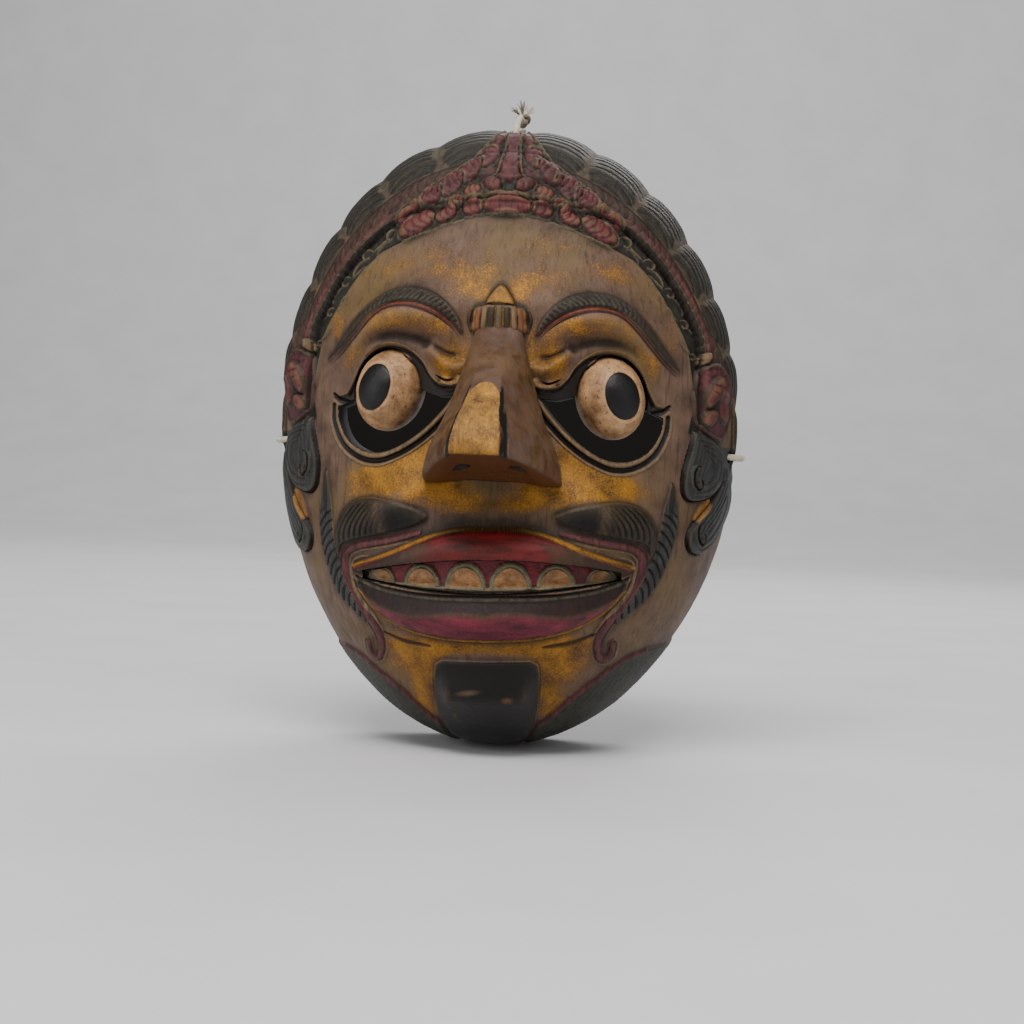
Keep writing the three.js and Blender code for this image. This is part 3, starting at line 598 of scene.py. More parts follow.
MOUSTACHE = ((18.0, -25.6), (20.6, -23.8), (23.7, -22.3), (27.7, -20.9), (33.4, -20.0), (38.4, -20.6),
             (42.6, -22.6), (45.2, -25.6), (46.4, -29.4), (46.2, -34), (44.8, -37.6), (44.4, -34.4),
             (42.6, -32.4), (38, -31.2), (32, -30.2), (25.4, -28.9), (20.8, -27.4))
where, depth = front.patch(MOUSTACHE, 0.7, 1.0, "hair", crown=1.0)
sweep = side[where] + 0.055 * (level[where] + 31) ** 2
cut = front.hatch(where, sweep / 1.7, 0.6, smooth(0.3, 1.2, depth) * smooth(28, 36, side[where]))
front.cover("slate", 0.7 * cut, where)
front.cover("black", 0.7 * smooth(0.0, 0.4, depth) * smooth(40, 26, side[where]), where)

CHAIN = ((51.6, -13.8), (51.2, -20), (50.9, -26.6), (49.8, -31.6), (48.4, -37), (46, -42.6), (43, -47.6),
         (39, -52), (35.6, -56.4))
chain_line = curve(CHAIN)
where = front.around(chain_line, 5)
off, along, turned = follow(chain_line, side[where], level[where])
length = along.max()
half = 2.0 * smooth(0, 14, along) * smooth(length + 1, length - 14, along) + 0.5
inside = smooth(0.3, -0.2, off - half) * smooth(0, 1, along) * smooth(length, length - 1, along)
front.cover("slate", inside, where)
front.height[where] += 0.6 * inside
links = (along - 0.9 * off * turned - 0.16 * off ** 2) / 2.9
front.cover("black", front.hatch(where, links, 0.6, inside * smooth(7, 12, along)), where)
front.bead(CHAIN[:3], 0.8, 0.2, "black", taper=0.8)

CHIN_PATCH = ((-8, -66.4), (12.6, -66.4), (14.6, -67.8), (15.2, -71), (14.9, -80), (13.8, -86),
              (11.4, -91), (6, -94.6), (-8, -95.6))
front.patch(CHIN_PATCH, 0.7, 1.2, "chin_black", crown=0.2, smooth_line=False)
front.swell(((-15, -75.6), (0, -75.8), (15, -75.6)), 4.6, 2.4, 0.3)
# A pale band along the chin's ridge: a scuff and painted highlight.
front.cover("bone", 0.55 * mound(front.x, level, -5, -74.6, 7, 1.6, 6))
front.cover("gold", 0.52 * mound(front.x, level, 6.4, -76.6, 3.6, 2.2, 0))
front.cover("gold", 0.45 * mound(front.x, level, -9, -83, 2.0, 2.4, 30))
front.bead(((15.8, -68), (15.9, -76), (14.9, -85)), 0.3, 0.25, "gold", taper=0.6)
BEARD_EDGE = ((45.6, -65.4), (40, -67.4), (35, -70.8), (30, -74.6), (24.6, -78.8), (19, -83.6), (14.6, -87.2))
BEARD = BEARD_EDGE + ((12, -93), (6, -99), (6, -112), (74, -112), (60, -64))
where, depth = front.patch(BEARD, 0.7, 0.8, "leaf", smooth_line=False)
front.hatch(where, (side[where] + 0.8 * level[where]) / 1.7, 0.15, smooth(0.5, 2, depth))
front.bead(BEARD_EDGE, 0.45, 0.35, "maroon")
front.bead(((16, -62.4), (24, -61.4), (30.4, -58.8)), 1.0, -0.6, taper=0.7)

# ---------------------------------------------------------------- gilded places

GILDED = (  # how much, then a mound's middle x and z, half sizes and lean
    (1.3, 23, -9, 9, 7, 20), (1.1, 14, -17, 8, 3.5, 0), (0.9, 31, -15, 8, 4, 10),
    (1.0, 14, 19, 7, 9, 20), (0.75, 26, 30, 16, 3.0, 0), (0.55, 42, 22, 9, 3, -45),
    (0.30, 12, 44, 20, 5, 8), (0.26, 34, 45, 9, 5, -30), (1.0, 22, -66, 9, 9, -30),
    (1.0, 18, -79, 4, 10, 10), (1.0, 10, -62.5, 18, 2.2, 0), (0.8, 5, -22, 16, 3, 0),
    (0.6, 38, -17, 8, 5, 0), (0.5, 53, 33, 4, 14, -30), (0.5, 34, -34, 9, 1.5, -12),
    (0.6, 6, 38, 9, 6, 0), (0.30, 0, 52, 46, 9, 0),
)
# Brown in the hollow under the brow ridge and beside the ornament: soil and painted shade.
soil_and_shade = 0.4 * mound(side, level, 10, 33, 5, 6) + 0.35 * mound(side, level, 24, 24, 12, 2.4)
front.cover("brown", soil_and_shade)
gilding = np.clip(sum(amount * mound(side, level, *rest) for amount, *rest in GILDED), 0, 1)
bare = 1 - np.clip(sum(front.paint.values()), 0, 1)
front.cover("gold", 0.9 * gilding * bare)

# ---------------------------------------------------------------- hand-carved unevenness


def blurred(values, reach):
    """A soft average over the grid's neighbours, taken twice."""
    grid = values.reshape(front.rows, front.columns)
    for _ in range(2):
        padded = np.pad(grid, ((reach, reach), (0, 0)), mode="edge")
        total = np.cumsum(np.vstack([np.zeros((1, front.columns)), padded]), axis=0)
        grid = (total[2 * reach + 1:] - total[:-2 * reach - 1]) / (2 * reach + 1)
        padded = np.concatenate([grid[:, -reach:], grid, grid[:, :reach]], axis=1)
        total = np.cumsum(np.concatenate([np.zeros((front.rows, 1)), padded], axis=1), axis=1)
        grid = (total[:, 2 * reach + 1:] - total[:, :-2 * reach - 1]) / (2 * reach + 1)
    return grid.ravel()


front_y = dome_point(front.turn, front.share)[:, 1]
places = front.x, front_y, front.z
front.height += 0.35 * ripples(*places, 3, 22) + 0.12 * ripples(*places, 5, 6)
hollow = blurred(front.height, 3) - front.height
low_ground = blurred(front.height, 9) - front.height
# groove darkens the paint in grooves and low ground, grime and painted shade; edge marks worn paint on
# ridges.
front.marks = {
    "groove": np.clip(2.6 * hollow + 0.55 * low_ground, 0, 1),
    "edge": np.clip(-3.4 * hollow - 0.3 * low_ground, 0, 1),
}

# ---------------------------------------------------------------- meshes


def in_scene(name, data):
    made = bpy.data.objects.new(name, data)
    bpy.context.scene.collection.objects.link(made)
    return made


def mesh_piece(name, points, faces, marks=None, sharp=50.0):
    """A mesh in the frame's metres, smooth except at edges sharper than sharp degrees."""
    mesh = bpy.data.meshes.new(name)
    faces = [np.asarray(f, np.int32) for f in (faces if isinstance(faces, list) else [faces])]
    faces = [f for f in faces if len(f)]
    loops = np.concatenate([f.ravel() for f in faces])
    sizes = np.concatenate([np.full(len(f), f.shape[1], np.int32) for f in faces])
    mesh.vertices.add(len(points))
    mesh.vertices.foreach_set("co", place(points).astype(np.float32).ravel())
    mesh.loops.add(len(loops))
    mesh.loops.foreach_set("vertex_index", loops)
    mesh.polygons.add(len(sizes))
    starts = np.concatenate([[0], np.cumsum(sizes)[:-1]])
    mesh.polygons.foreach_set("loop_start", starts.astype(np.int32))
    mesh.update(calc_edges=True)
    for mark, values in (marks or {}).items():
        layer = mesh.attributes.new(mark, "FLOAT", "POINT")
        layer.data.foreach_set("value", np.asarray(values, np.float32))
    mesh.shade_smooth()
    mesh.set_sharp_from_angle(angle=math.radians(sharp))
    return in_scene(name, mesh)


def sheet_faces(rows, columns, first=0, flip=False):
    """Quads of a rows by columns grid of closed rings whose points start at first."""
    i, j = np.meshgrid(np.arange(rows - 1), np.arange(columns), indexing="ij")
    right = (j + 1) % columns
    quads = np.stack([first + i * columns + j, first + i * columns + right,
                      first + (i + 1) * columns + right, first + (i + 1) * columns + j], -1).reshape(-1, 4)
    return quads[:, ::-1] if flip else quads


def cap_faces(centre, ring, flip=False):
    """Triangles from a centre point to a closed ring of points."""
    ring = np.asarray(ring)
    fan = np.stack([np.full(len(ring), centre), ring, np.roll(ring, -1)], 1)
    return fan[:, ::-1] if flip else fan


def dome_body(name, outer, inner, marks):
    """A closed body from an outer grid and an inner one, or the outer one over a flat back.

    Each grid is rows by columns by 3 with its first row round the middle.
    """
    rows, columns, _ = outer.shape
    points = [outer.mean(axis=1)[:1], outer.reshape(-1, 3)]
    rim = 1 + (rows - 1) * columns + np.arange(columns)
    faces = [cap_faces(0, 1 + np.arange(columns)), sheet_faces(rows, columns, 1, flip=True)]
    start = 1 + rows * columns
    if inner is None:
        points.append(np.array([[0, 0, CROWN_CENTRE]]))
        faces.append(cap_faces(start, rim, flip=True))
    else:
        deep, narrow, _ = inner.shape
        points += [inner.mean(axis=1)[:1], inner.reshape(-1, 3)]
        faces += [cap_faces(start, start + 1 + np.arange(narrow), flip=True),
                  sheet_faces(deep, narrow, start + 1)]
        inner_rim = start + 1 + (deep - 1) * narrow + np.arange(narrow)
        step = columns // narrow
        strip = []
        for k in range(narrow):
            edge = [rim[(k * step + s) % columns] for s in range(step + 1)]
            strip.append(edge + [inner_rim[(k + 1) % narrow], inner_rim[k]])
        faces.append(np.array(strip)[:, ::-1])
    points = np.vstack(points)
    full = {"inside": (np.arange(len(points)) >= start).astype(float)} if marks else {}
    for mark, values in marks.items():
        spread = np.zeros(len(points))
        spread[1:1 + rows * columns] = values
        spread[0] = values[:columns].mean()
        full[mark] = spread
    return mesh_piece(name, points, faces, full)


def grid_body(name, sheet, marks=None, sharp=50.0):
    """A closed body from rings of points: rows by columns by 3, each row a closed ring."""
    rows, columns, _ = sheet.shape
    ends = np.stack([sheet[0].mean(axis=0), sheet[-1].mean(axis=0)])
    points = np.vstack([sheet.reshape(-1, 3), ends])
    count, ring = rows * columns, np.arange(columns)
    faces = [sheet_faces(rows, columns), cap_faces(count, ring, flip=True),
             cap_faces(count + 1, count - columns + ring)]
    return mesh_piece(name, points, faces, marks, sharp)


def outward_normals(piece):
    """Turns a closed piece's faces outwards if they look in."""
    mesh = piece.data
    mesh.calc_loop_triangles()
    corners = np.zeros(len(mesh.loop_triangles) * 3, np.int32)
    mesh.loop_triangles.foreach_get("vertices", corners)
    co = np.zeros(len(mesh.vertices) * 3, np.float32)
    mesh.vertices.foreach_get("co", co)
    tri = co.reshape(-1, 3)[corners.reshape(-1, 3)].astype(float)
    if np.einsum("ij,ij->i", tri[:, 0], np.cross(tri[:, 1], tri[:, 2])).sum() < 0:
        mesh.flip_normals()
    return piece


def tube(name, route, radius, sides=16, lobes=0, twist=0.0, depth=0.0, taper=None):
    """A round tube along a route in millimetres; lobes and twist make the plies of a cord."""
    route = np.asarray(route, float)
    way = np.gradient(route, axis=0)
    way /= np.linalg.norm(way, axis=1, keepdims=True)
    walked = np.concatenate([[0], np.cumsum(np.linalg.norm(np.diff(route, axis=0), axis=1))])
    first = np.cross(way[0], (0.31, 0.17, 0.93))
    first /= np.linalg.norm(first)
    rings = []
    turn = np.linspace(0, 2 * math.pi, sides, endpoint=False)
    for k, (point, along) in enumerate(zip(route, way)):
        first = first - along * first.dot(along)
        first /= np.linalg.norm(first)
        second = np.cross(along, first)
        reach = radius * (taper(walked[k] / walked[-1]) if taper else 1.0)
        ply = 1.0
        if lobes:
            wave = np.abs(np.cos(lobes * 0.5 * (turn - twist * walked[k])))
            ply = 1 - depth * (1 - wave ** 0.7)
        rings.append(point + (reach * ply * np.cos(turn))[:, None] * first
                     + (reach * ply * np.sin(turn))[:, None] * second)
    return outward_normals(grid_body(name, np.array(rings), sharp=80.0))


def merged(name, pieces):
    """Several meshes as one piece."""
    target = pieces[0]
    with bpy.context.temp_override(active_object=target, object=target,
                                   selected_editable_objects=pieces):
        bpy.ops.object.join()
    target.name = name
    target.data.name = name
    return target


def cut_away(piece, cutters):
    """Takes the cutters, which don't touch one another, out of the piece."""
    cutter = merged("cutter", cutters) if len(cutters) > 1 else cutters[0]
    step = piece.modifiers.new("cut", "BOOLEAN")
    step.operation = "DIFFERENCE"
    step.solver = "MANIFOLD"
    step.object = cutter
    bpy.context.view_layer.update()
    worked_out = piece.evaluated_get(bpy.context.evaluated_depsgraph_get())
    cut = bpy.data.meshes.new_from_object(worked_out)
    piece.modifiers.clear()
    old = piece.data
    piece.data = cut
    cut.name = piece.name
    bpy.data.meshes.remove(old)
    bpy.data.objects.remove(cutter)


ROD_SIDES = 32


def rod(start, end, radius):
    start, end = np.asarray(start, float), np.asarray(end, float)
    steps = np.linspace(0, 1, 3)[:, None]
    return tube("rod", start + steps * (end - start), radius, ROD_SIDES)


def prism(outline, near, far):
    """An outline in x and z carried from y = near to y = far."""
    x, z = np.asarray(outline, float).T
    rings = [np.stack([x, np.full(len(x), y), z], 1) for y in (near, far)]
    return outward_normals(grid_body("prism", np.array(rings)))


def box_cutter(middle, size):
    x, y, z = middle
    a, b, c = np.asarray(size, float) / 2
    corners = ((x - a, z - c), (x + a, z - c), (x + a, z + c), (x - a, z + c))
    return prism(corners, y - b, y + b)


def ball(grow=0.0, around=64, up=48):
    """The eyeball's form, cut flat behind."""
    turn = np.linspace(0, 2 * math.pi, around, endpoint=False)
    tilt = np.linspace(0, math.pi, up + 2)[1:-1]
    turn, tilt = np.meshgrid(turn, tilt)
    a, b, c = (half + grow for half in EYE_HALF)
    y = np.minimum(b * np.sin(tilt) * np.sin(turn), SOCKET_FLOOR + grow)
    return np.stack([a * np.sin(tilt) * np.cos(turn), y, c * np.cos(tilt)], -1)


def seat_ball(way, points):
    """Leans the ball's points and moves them into the socket on one side."""
    c, s = cos_sin(-way * EYE_LEAN)
    x, y, z = np.moveaxis(points, -1, 0)
    depth = EYE_SINK - float(dome_depth(*EYE))
    return np.stack([way * EYE[0] + x * c + z * s, depth + y, EYE[1] - x * s + z * c], -1)


# ---------------------------------------------------------------- the shell

normal = dome_normal(front.turn, front.share)
skin_points = dome_point(front.turn, front.share) + normal * front.height[:, None]
skin_points[:, 1] = np.minimum(skin_points[:, 1], 0)
skin_points[-front.columns:, 1] = 0
outer_grid = skin_points.reshape(front.rows, front.columns, 3)

INNER_COLUMNS, INNER_ROWS = front.columns // 4, 90
inner_turn, inner_share = np.meshgrid(np.arange(INNER_COLUMNS) * 2 * math.pi / INNER_COLUMNS,
                                      (np.arange(INNER_ROWS) + 1) / INNER_ROWS)
inner_grid = dome_point(inner_turn, inner_share, -RIM_WALL, -FRONT_WALL)
# Gouge marks: short scoops in staggered rows down the hollow.
GOUGE_WIDTH, GOUGE_LENGTH, GOUGE_DEPTH = 7.5, 17, 0.8
row_of = inner_grid[..., 0] / GOUGE_WIDTH
scoop = np.cos(math.pi * ((row_of + 0.5) % 1 - 0.5)) * np.abs(
    np.sin(math.pi * (inner_grid[..., 2] / GOUGE_LENGTH + 0.37 * np.floor(row_of + 0.5))))
fade = smooth(1.0, 0.9, inner_share)
inner_grid[..., 1] -= fade * (1.1 * scoop - 0.5) * GOUGE_DEPTH
inner_grid[..., 1] = np.minimum(inner_grid[..., 1], 0)

# Each paint, and the painted shade on the lips and lids: its dark and light colour, how much it is worn
# through, its roughness.
PAINT_TABLE = {
    "hair": ("#080705", "#2b261b", 0.6, 0.50),
    "olive": ("#211e16", "#514a39", 1.1, 0.65),
    "rope": ("#1c110e", "#4a352a", 0.7, 0.55),
    "leaf": ("#0c0f0a", "#33342a", 0.7, 0.55),
    "maroon": ("#20090c", "#5c2a2e", 0.7, 0.50),
    "red_petal": ("#260a0c", "#63292b", 1.0, 0.55),
    "slate": ("#0a0b0b", "#343735", 0.6, 0.50),
    "black": ("#040303", "#0f0c0a", 0.3, 0.50),
    "orange_line": ("#32100a", "#7a3216", 1.1, 0.50),
    "brown": ("#110804", "#311a0c", 0.6, 0.50),
    "lid_paint_and_shade": ("#050302", "#20130a", 0.9, 0.50),
    "bone": ("#2c2117", "#715e42", 1.3, 0.55),
    "gold": ("#261406", "#a5711d", 1.9, 0.45),
    "crimson": ("#1e0205", "#7a0a1a", 0.5, 0.40),
    "lip": ("#240810", "#782338", 0.6, 0.42),
    "lip_painted_shade": ("#090403", "#2b100c", 0.7, 0.45),
    "chin_black": ("#040302", "#120d0a", 0.4, 0.16),
}
marks = {name: front.paint[name] for name in PAINT_TABLE}
marks.update(front.marks)
marks["painted"] = np.ones(front.x.size)
shell = dome_body("mask_shell_carved", outer_grid, inner_grid, marks)

# A coarser front, a hair proud of the carving, that the nose is cut to fit.
solid_front = outer_grid[9::10, ::6] - (0, 0.25, 0)
dome_cutter = dome_body("front_cutter", solid_front, None, {})


SLOT_UPPER = ((48.2, 5.2), (45.6, 6.2), (43.0, 7.4), (40.2, 6.0), (32.6, 2.0), (26, 6.5), (23.4, 10.4),
              (20, 9.6), (16.8, 8.9), (12.8, 9.1))


def slot_outline(way):
    return np.vstack([curve(SLOT_LOWER, 5), curve(SLOT_UPPER, 4)[1:-1]]) * (way, 1)


def half_opening(across, half, gap=0.0):
    """Half the mouth's height at places across it, less a gap."""
    corner, rise = MOUTH_CORNER_HEIGHT / 2 - gap, MOUTH_HEIGHT / 2 - gap
    return corner + (rise - corner) * (1 - np.abs(across / half) ** 2)


def on_mouth(across, up):
    """The x and z of places measured along the tilted mouth."""
    c, s = cos_sin(MOUTH_TILT)
    return across * c - up * s, MOUTH_LEVEL + across * s + up * c


def mouth_outline():
    across = np.linspace(-MOUTH_HALF, MOUTH_HALF, 29)
    top = half_opening(across, MOUTH_HALF)
    ring = np.concatenate([across, across[::-1]]), np.concatenate([top, -top[::-1]])
    return np.stack(on_mouth(*ring), 1)


def at_depth(y):
    """The share of the rim's radius at which the dome has come back to y."""
    return (1 - (-y / FACE_DEPTH) ** DOME_ROUNDNESS) ** (1 / DOME_ROUNDNESS)


TOP_HOLE_Y, TOP_HOLE_SLANT = -27.0, math.radians(36)
SIDE_HOLE_Y, SIDE_HOLE_Z = -19.0, -5.0
HOLE_RADIUS, NOTCH_WIDTH, NOTCH_DEPTH = 1.9, 3.4, 3.2
top_hole = np.array([0, TOP_HOLE_Y, CROWN_CENTRE + CROWN_RISE * at_depth(TOP_HOLE_Y)])
drill = np.array([0, math.sin(TOP_HOLE_SLANT), -math.cos(TOP_HOLE_SLANT)])
side_hole_x = HALF_WIDTH * at_depth(SIDE_HOLE_Y)


def box_middle(node):
    low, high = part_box(node)
    return np.array([(low[k] + high[k]) / 2 / MM for k in range(3)]) + (0, 0, RIM_TOP)


def box_radius(node):
    low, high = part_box(node)
    return (high.x - low.x) / 2 / MM


def peg_ends(node):
    """The back and the tip of a peg's axis, from its box."""
    x, _, z = box_middle(node)
    low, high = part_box(node)
    return np.array([x, high.y / MM, z]), np.array([x, low.y / MM, z])


EYE_PEGS, NOSE_PEGS = ("eye_peg_left", "eye_peg_right"), ("nose_peg_upper", "nose_peg_lower")
EYE_PEG_BORE, NOSE_PEG_BORE, BORE_RUN_OUT, TIP_SPACE = 2.3, 2.8, 12.0, 0.4


def peg_bore(node, space=0.0):
    """The hole for a peg, open at the back and ending that space beyond its tip."""
    back, tip = peg_ends(node)
    bore = EYE_PEG_BORE if node in EYE_PEGS else NOSE_PEG_BORE
    return rod(back + (0, BORE_RUN_OUT, 0), tip - (0, space, 0), bore)


# Two rounds of cuts, since the cutters of one round must not touch one another.
NOTCH_INSET = 4.5
first_cuts = [prism(mouth_outline(), -90, -20),
              rod(top_hole - 12 * drill, top_hole + 22 * drill, HOLE_RADIUS)]
second_cuts = [box_cutter((0, 0, RIM_TOP - NOTCH_INSET), (NOTCH_WIDTH, 2 * NOTCH_DEPTH, 3 * RIM_WALL))]
for name, way in SIDES.items():
    first_cuts.append(outward_normals(grid_body("socket", seat_ball(way, ball(SOCKET_GAP)))))
    first_cuts.append(rod((way * (side_hole_x + 8), SIDE_HOLE_Y, SIDE_HOLE_Z),
                          (way * (side_hole_x - 2.2 * RIM_WALL), SIDE_HOLE_Y, SIDE_HOLE_Z), HOLE_RADIUS))
    second_cuts.append(prism(slot_outline(way), -75, -20))
    second_cuts.append(box_cutter((way * (HALF_WIDTH - NOTCH_INSET), 0, SIDE_HOLE_Z),
                                  (3 * RIM_WALL, 2 * NOTCH_DEPTH, NOTCH_WIDTH)))
second_cuts += [peg_bore(node) for node in EYE_PEGS + NOSE_PEGS]
for cuts in (first_cuts, second_cuts):
    cut_away(shell, cuts)

# ---------------------------------------------------------------- the nose

NOSE_ROWS, NOSE_ACROSS, UNDER_ROWS, EDGE_ROUNDS = 150, 151, 30, 26
NOSE_BEND = 2.6  # how far the tip leans to one side
face_front = float(dome_depth(0, 0))
# Half of the section low down, from the wing's foot to the front facet: how far round, then x
# and depth as shares of the half width and of the reach.
WING_SECTION = ((0.0, -1.0, 0.0), (0.16, -1.0, 0.14), (0.34, -0.93, 0.34), (0.52, -0.79, 0.55),
                (0.68, -0.60, 0.74), (0.78, -0.46, 0.86))
FACET_FROM, FACET_SHARE = 0.78, 0.22
down, across = np.meshgrid(np.linspace(0, 1, NOSE_ROWS), np.linspace(-1, 1, NOSE_ACROSS), indexing="ij")
t = 1 - np.abs(across)
steps, wing_x, wing_out = np.array(WING_SECTION).T
flare = 0.9 * smooth(0.55, 0.8, down) * smooth(1, 0.85, down)
half = NOSE_TOP_HALF + (NOSE_BASE_HALF - NOSE_TOP_HALF) * down ** 1.15 + flare
tip = np.minimum(NOSE_TIP_HALF, 0.62 * half) * (0.62 + 0.46 * smooth(0.36, 0.95, down))
reach = 2 + (NOSE_REACH - 2) * np.sin(down * math.pi / 2) ** 1.15
t_wing = np.clip(t * 1.28, 0, 1)
near_facet_x = np.interp(t, (0, 0.62, FACET_FROM), (0, 0, 1))
near_facet_out = np.interp(t, (0, 0.61, FACET_FROM), (0, 0, 1))
wedge_x = np.where(t < FACET_FROM,
                   near_facet_x * (-tip - wing_x[-1] * half) + np.interp(t_wing, steps, wing_x) * half,
                   -tip * (1 - t) / FACET_SHARE)
wedge_out = np.where(t < FACET_FROM,
                     near_facet_out * (0.985 - wing_out[-1]) + np.interp(t_wing, steps, wing_out),
                     0.985 + 0.015 * smooth(0.74, 0.80, t))
round_x, round_out = -np.cos(t * math.pi / 2) * half, np.sin(t * math.pi / 2) ** 0.85
low_down = smooth(0.22, 0.52, down)
x = (round_x + (wedge_x - round_x) * low_down) * -np.sign(across + 1e-9)
out = (round_out + (wedge_out - round_out) * low_down) * reach
facet_edge = np.abs(np.abs(x) - tip - 0.2)
top_of_facet = 0.40 + 0.10 * (np.abs(x) / tip) ** 2.4
facet = smooth(tip + 0.5, tip - 0.5, np.abs(x)) * smooth(0, 0.05, down - top_of_facet)
crease = np.exp(-((np.abs(x) - tip - 0.8) / 0.7) ** 2) * smooth(0.5, 0.75, down)
wing_swell = np.exp(-((np.abs(x) - 0.62 * half) / (0.16 * half + 0.5)) ** 2) * smooth(0.45, 0.8, down)
out = out - (1.0 + 0.6 * (x > 0)) * crease - 0.5 * facet + 1.3 * wing_swell
out[:, 0] = out[:, -1] = -8.0
z = NOSE_TOP + (NOSE_BASE - NOSE_TOP) * down + NOSE_UNDERCUT * down * np.maximum(out, 0)
x = x - NOSE_BEND * (np.maximum(out, 0) / NOSE_REACH) ** 2
nose_front = np.stack([x, -(face_front + out), z], -1)
# The underside runs from the lower edge back to the lip, hollowed between the wings.
lower_edge = nose_front[-1]
middle = np.array([0, -face_front + 6, NOSE_BASE])
inward = np.linspace(0, 1, UNDER_ROWS + 1)[1:, None, None]
under = lower_edge + (middle - lower_edge) * inward * 0.985
between = smooth(15, 6, np.abs(under[..., 0]))
in_front = smooth(-face_front + 2, -face_front - 6, under[..., 1])
under[..., 2] += 3.2 * np.sin(math.pi * inward[..., 0] ** 0.6) * between * in_front
sheet = np.concatenate([nose_front, under])
# Round off the lower edge over a few rows on both sides of it.
edge, before, after = (slice(NOSE_ROWS - 9 + k, NOSE_ROWS + 5 + k) for k in (0, -1, 1))
for _ in range(EDGE_ROUNDS):
    beside = sheet[before, 1:-1] + sheet[after, 1:-1]
    sheet[edge, 1:-1] = 0.5 * sheet[edge, 1:-1] + 0.25 * beside
spots = np.moveaxis(sheet, -1, 0)
wobble = ripples(*spots, 11, 12) + 0.4 * ripples(*spots, 12, 4)
sheet[..., 1] -= 0.35 * wobble * smooth(-face_front + 3, -face_front - 3, sheet[..., 1])


def nose_mark(on_front, on_under):
    """A mark over the whole nose from its values on the front and on the underside."""
    return np.append(np.concatenate([on_front, on_under]).ravel(), (0, 0))


nothing = np.zeros(under.shape[:2])
chipped = np.exp(-(facet_edge / 0.55) ** 2) * smooth(0.40, 0.5, down)
nose = outward_normals(grid_body("nose_carved", sheet, {
    "facet": nose_mark(facet, nothing), "under": nose_mark(0 * facet, nothing + 1),
    "crease": nose_mark(np.maximum(crease * 0.9, chipped * 0.8), nothing),
    "painted": nose_mark(facet * 0 + 1, nothing + 1)}, sharp=60.0))
cut_away(nose, [dome_cutter])
NOSTRIL_RADIUS = 2.5
bores = []
for way in SIDES.values():
    nostril = np.array([way * 0.42 * NOSE_BASE_HALF, -face_front - 0.3 * NOSE_REACH, NOSE_BASE])
    bores.append(rod(nostril + (0, 0, -5), nostril + (way * -0.6, 0, 6), NOSTRIL_RADIUS))
cut_away(nose, bores + [peg_bore(node, TIP_SPACE) for node in NOSE_PEGS])

# ---------------------------------------------------------------- eyes, teeth and pegs

PUPIL = (3.8, 0.4, 5.0, 7.2, 15.0)  # beside the ball's middle, above it, half sizes, lean
BALL_AROUND, BALL_UP = 200, 150
eyeballs = {}
for name, way in SIDES.items():
    points = ball(0.0, BALL_AROUND, BALL_UP)
    flat = points.reshape(-1, 3)
    front_half = smooth(2.5, -1, flat[:, 1])
    swell = 0.10 * ripples(*flat.T, 21 + way, 5) + 0.05 * ripples(*flat.T, 31 + way, 1.7)
    across, above, half_x, half_z, lean = PUPIL
    seen = seat_ball(way, flat)
    dx, dz = way * (seen[:, 0] - way * EYE[0]) - across, seen[:, 2] - EYE[1] - above
    c, s = cos_sin(lean)
    u, v = (c * dx + s * dz) / half_x, (c * dz - s * dx) / half_z
    from_pupil = np.hypot(u, v)
    rim = np.exp(-((from_pupil - 1.0) / 0.05) ** 2) * front_half
    flat = flat * (1 + (front_half * (swell - 0.22 * rim) / np.linalg.norm(flat, axis=1))[:, None])
    sheet = seat_ball(way, flat).reshape(points.shape)
    eyeball = grid_body(f"eyeball_{name}_painted", sheet, {
        "pupil": np.append(front_half * smooth(1.03, 0.95, from_pupil), (0, 0)),
        "pupil_rim": np.append(front_half * np.exp(-((from_pupil - 1.08) / 0.06) ** 2), (0, 0)),
        "painted": np.append(front_half, (0, 0))})
    outward_normals(eyeball)
    cut_away(eyeball, [peg_bore(f"eye_peg_{name}", TIP_SPACE)])
    eyeballs[name] = eyeball

TEETH_COLUMNS, TEETH_ROWS = 420, 60
TOOTH_HALF, TOOTH_RISE = 6.1, 7.9  # of the middle teeth; the others are smaller
half_teeth, rise = MOUTH_HALF - 0.5 * TEETH_GAP, MOUTH_HEIGHT / 2 - TEETH_GAP
across, share_up = np.meshgrid(np.linspace(-half_teeth, half_teeth, TEETH_COLUMNS),
                               np.linspace(-1, 1, TEETH_ROWS))
up = share_up * half_opening(across, half_teeth, TEETH_GAP)
nothing = np.zeros(across.shape)
relief = broad_relief(across, MOUTH_LEVEL + up, nothing)
bed = dome_depth(across, MOUTH_LEVEL + up) + relief - TEETH_RECESS
carving = nothing.copy()
tooth_marks = {"arch": nothing, "tooth": nothing,
               "gum": smooth(36, 30, np.abs(across)) * smooth(-2.6, -1.6, up)}
for number in (-2.5, -1.5, -0.5, 0.5, 1.5, 2.5):  # from the middle, in tooth pitches
    wide = TOOTH_HALF - 0.35 * abs(number) ** 1.5
    high = TOOTH_RISE - 1.0 * abs(number) ** 1.2
    foot = -rise + 1.3 + 0.5 * abs(number)
    reach = np.hypot((across - number * TOOTH_PITCH) / wide, (up - foot) / high)
    above_foot = smooth(foot - 0.5, foot + 0.1, up)
    arch = np.exp(-((reach - 0.90) / 0.12) ** 2) * above_foot
    tooth = smooth(0.84, 0.76, reach) * above_foot
    round_top = 0.9 * np.sqrt(np.clip(1 - reach ** 2, 0, 1)) * smooth(foot, foot + 3, up)
    carving += 0.9 * arch + tooth * (0.25 + round_top)
    tooth_marks["arch"] = np.maximum(tooth_marks["arch"], smooth(0.2, 0.6, arch))
    tooth_marks["tooth"] = np.maximum(tooth_marks["tooth"], tooth)
    tooth_marks["gum"] *= smooth(0.95, 1.05, reach) * above_foot + (1 - above_foot)
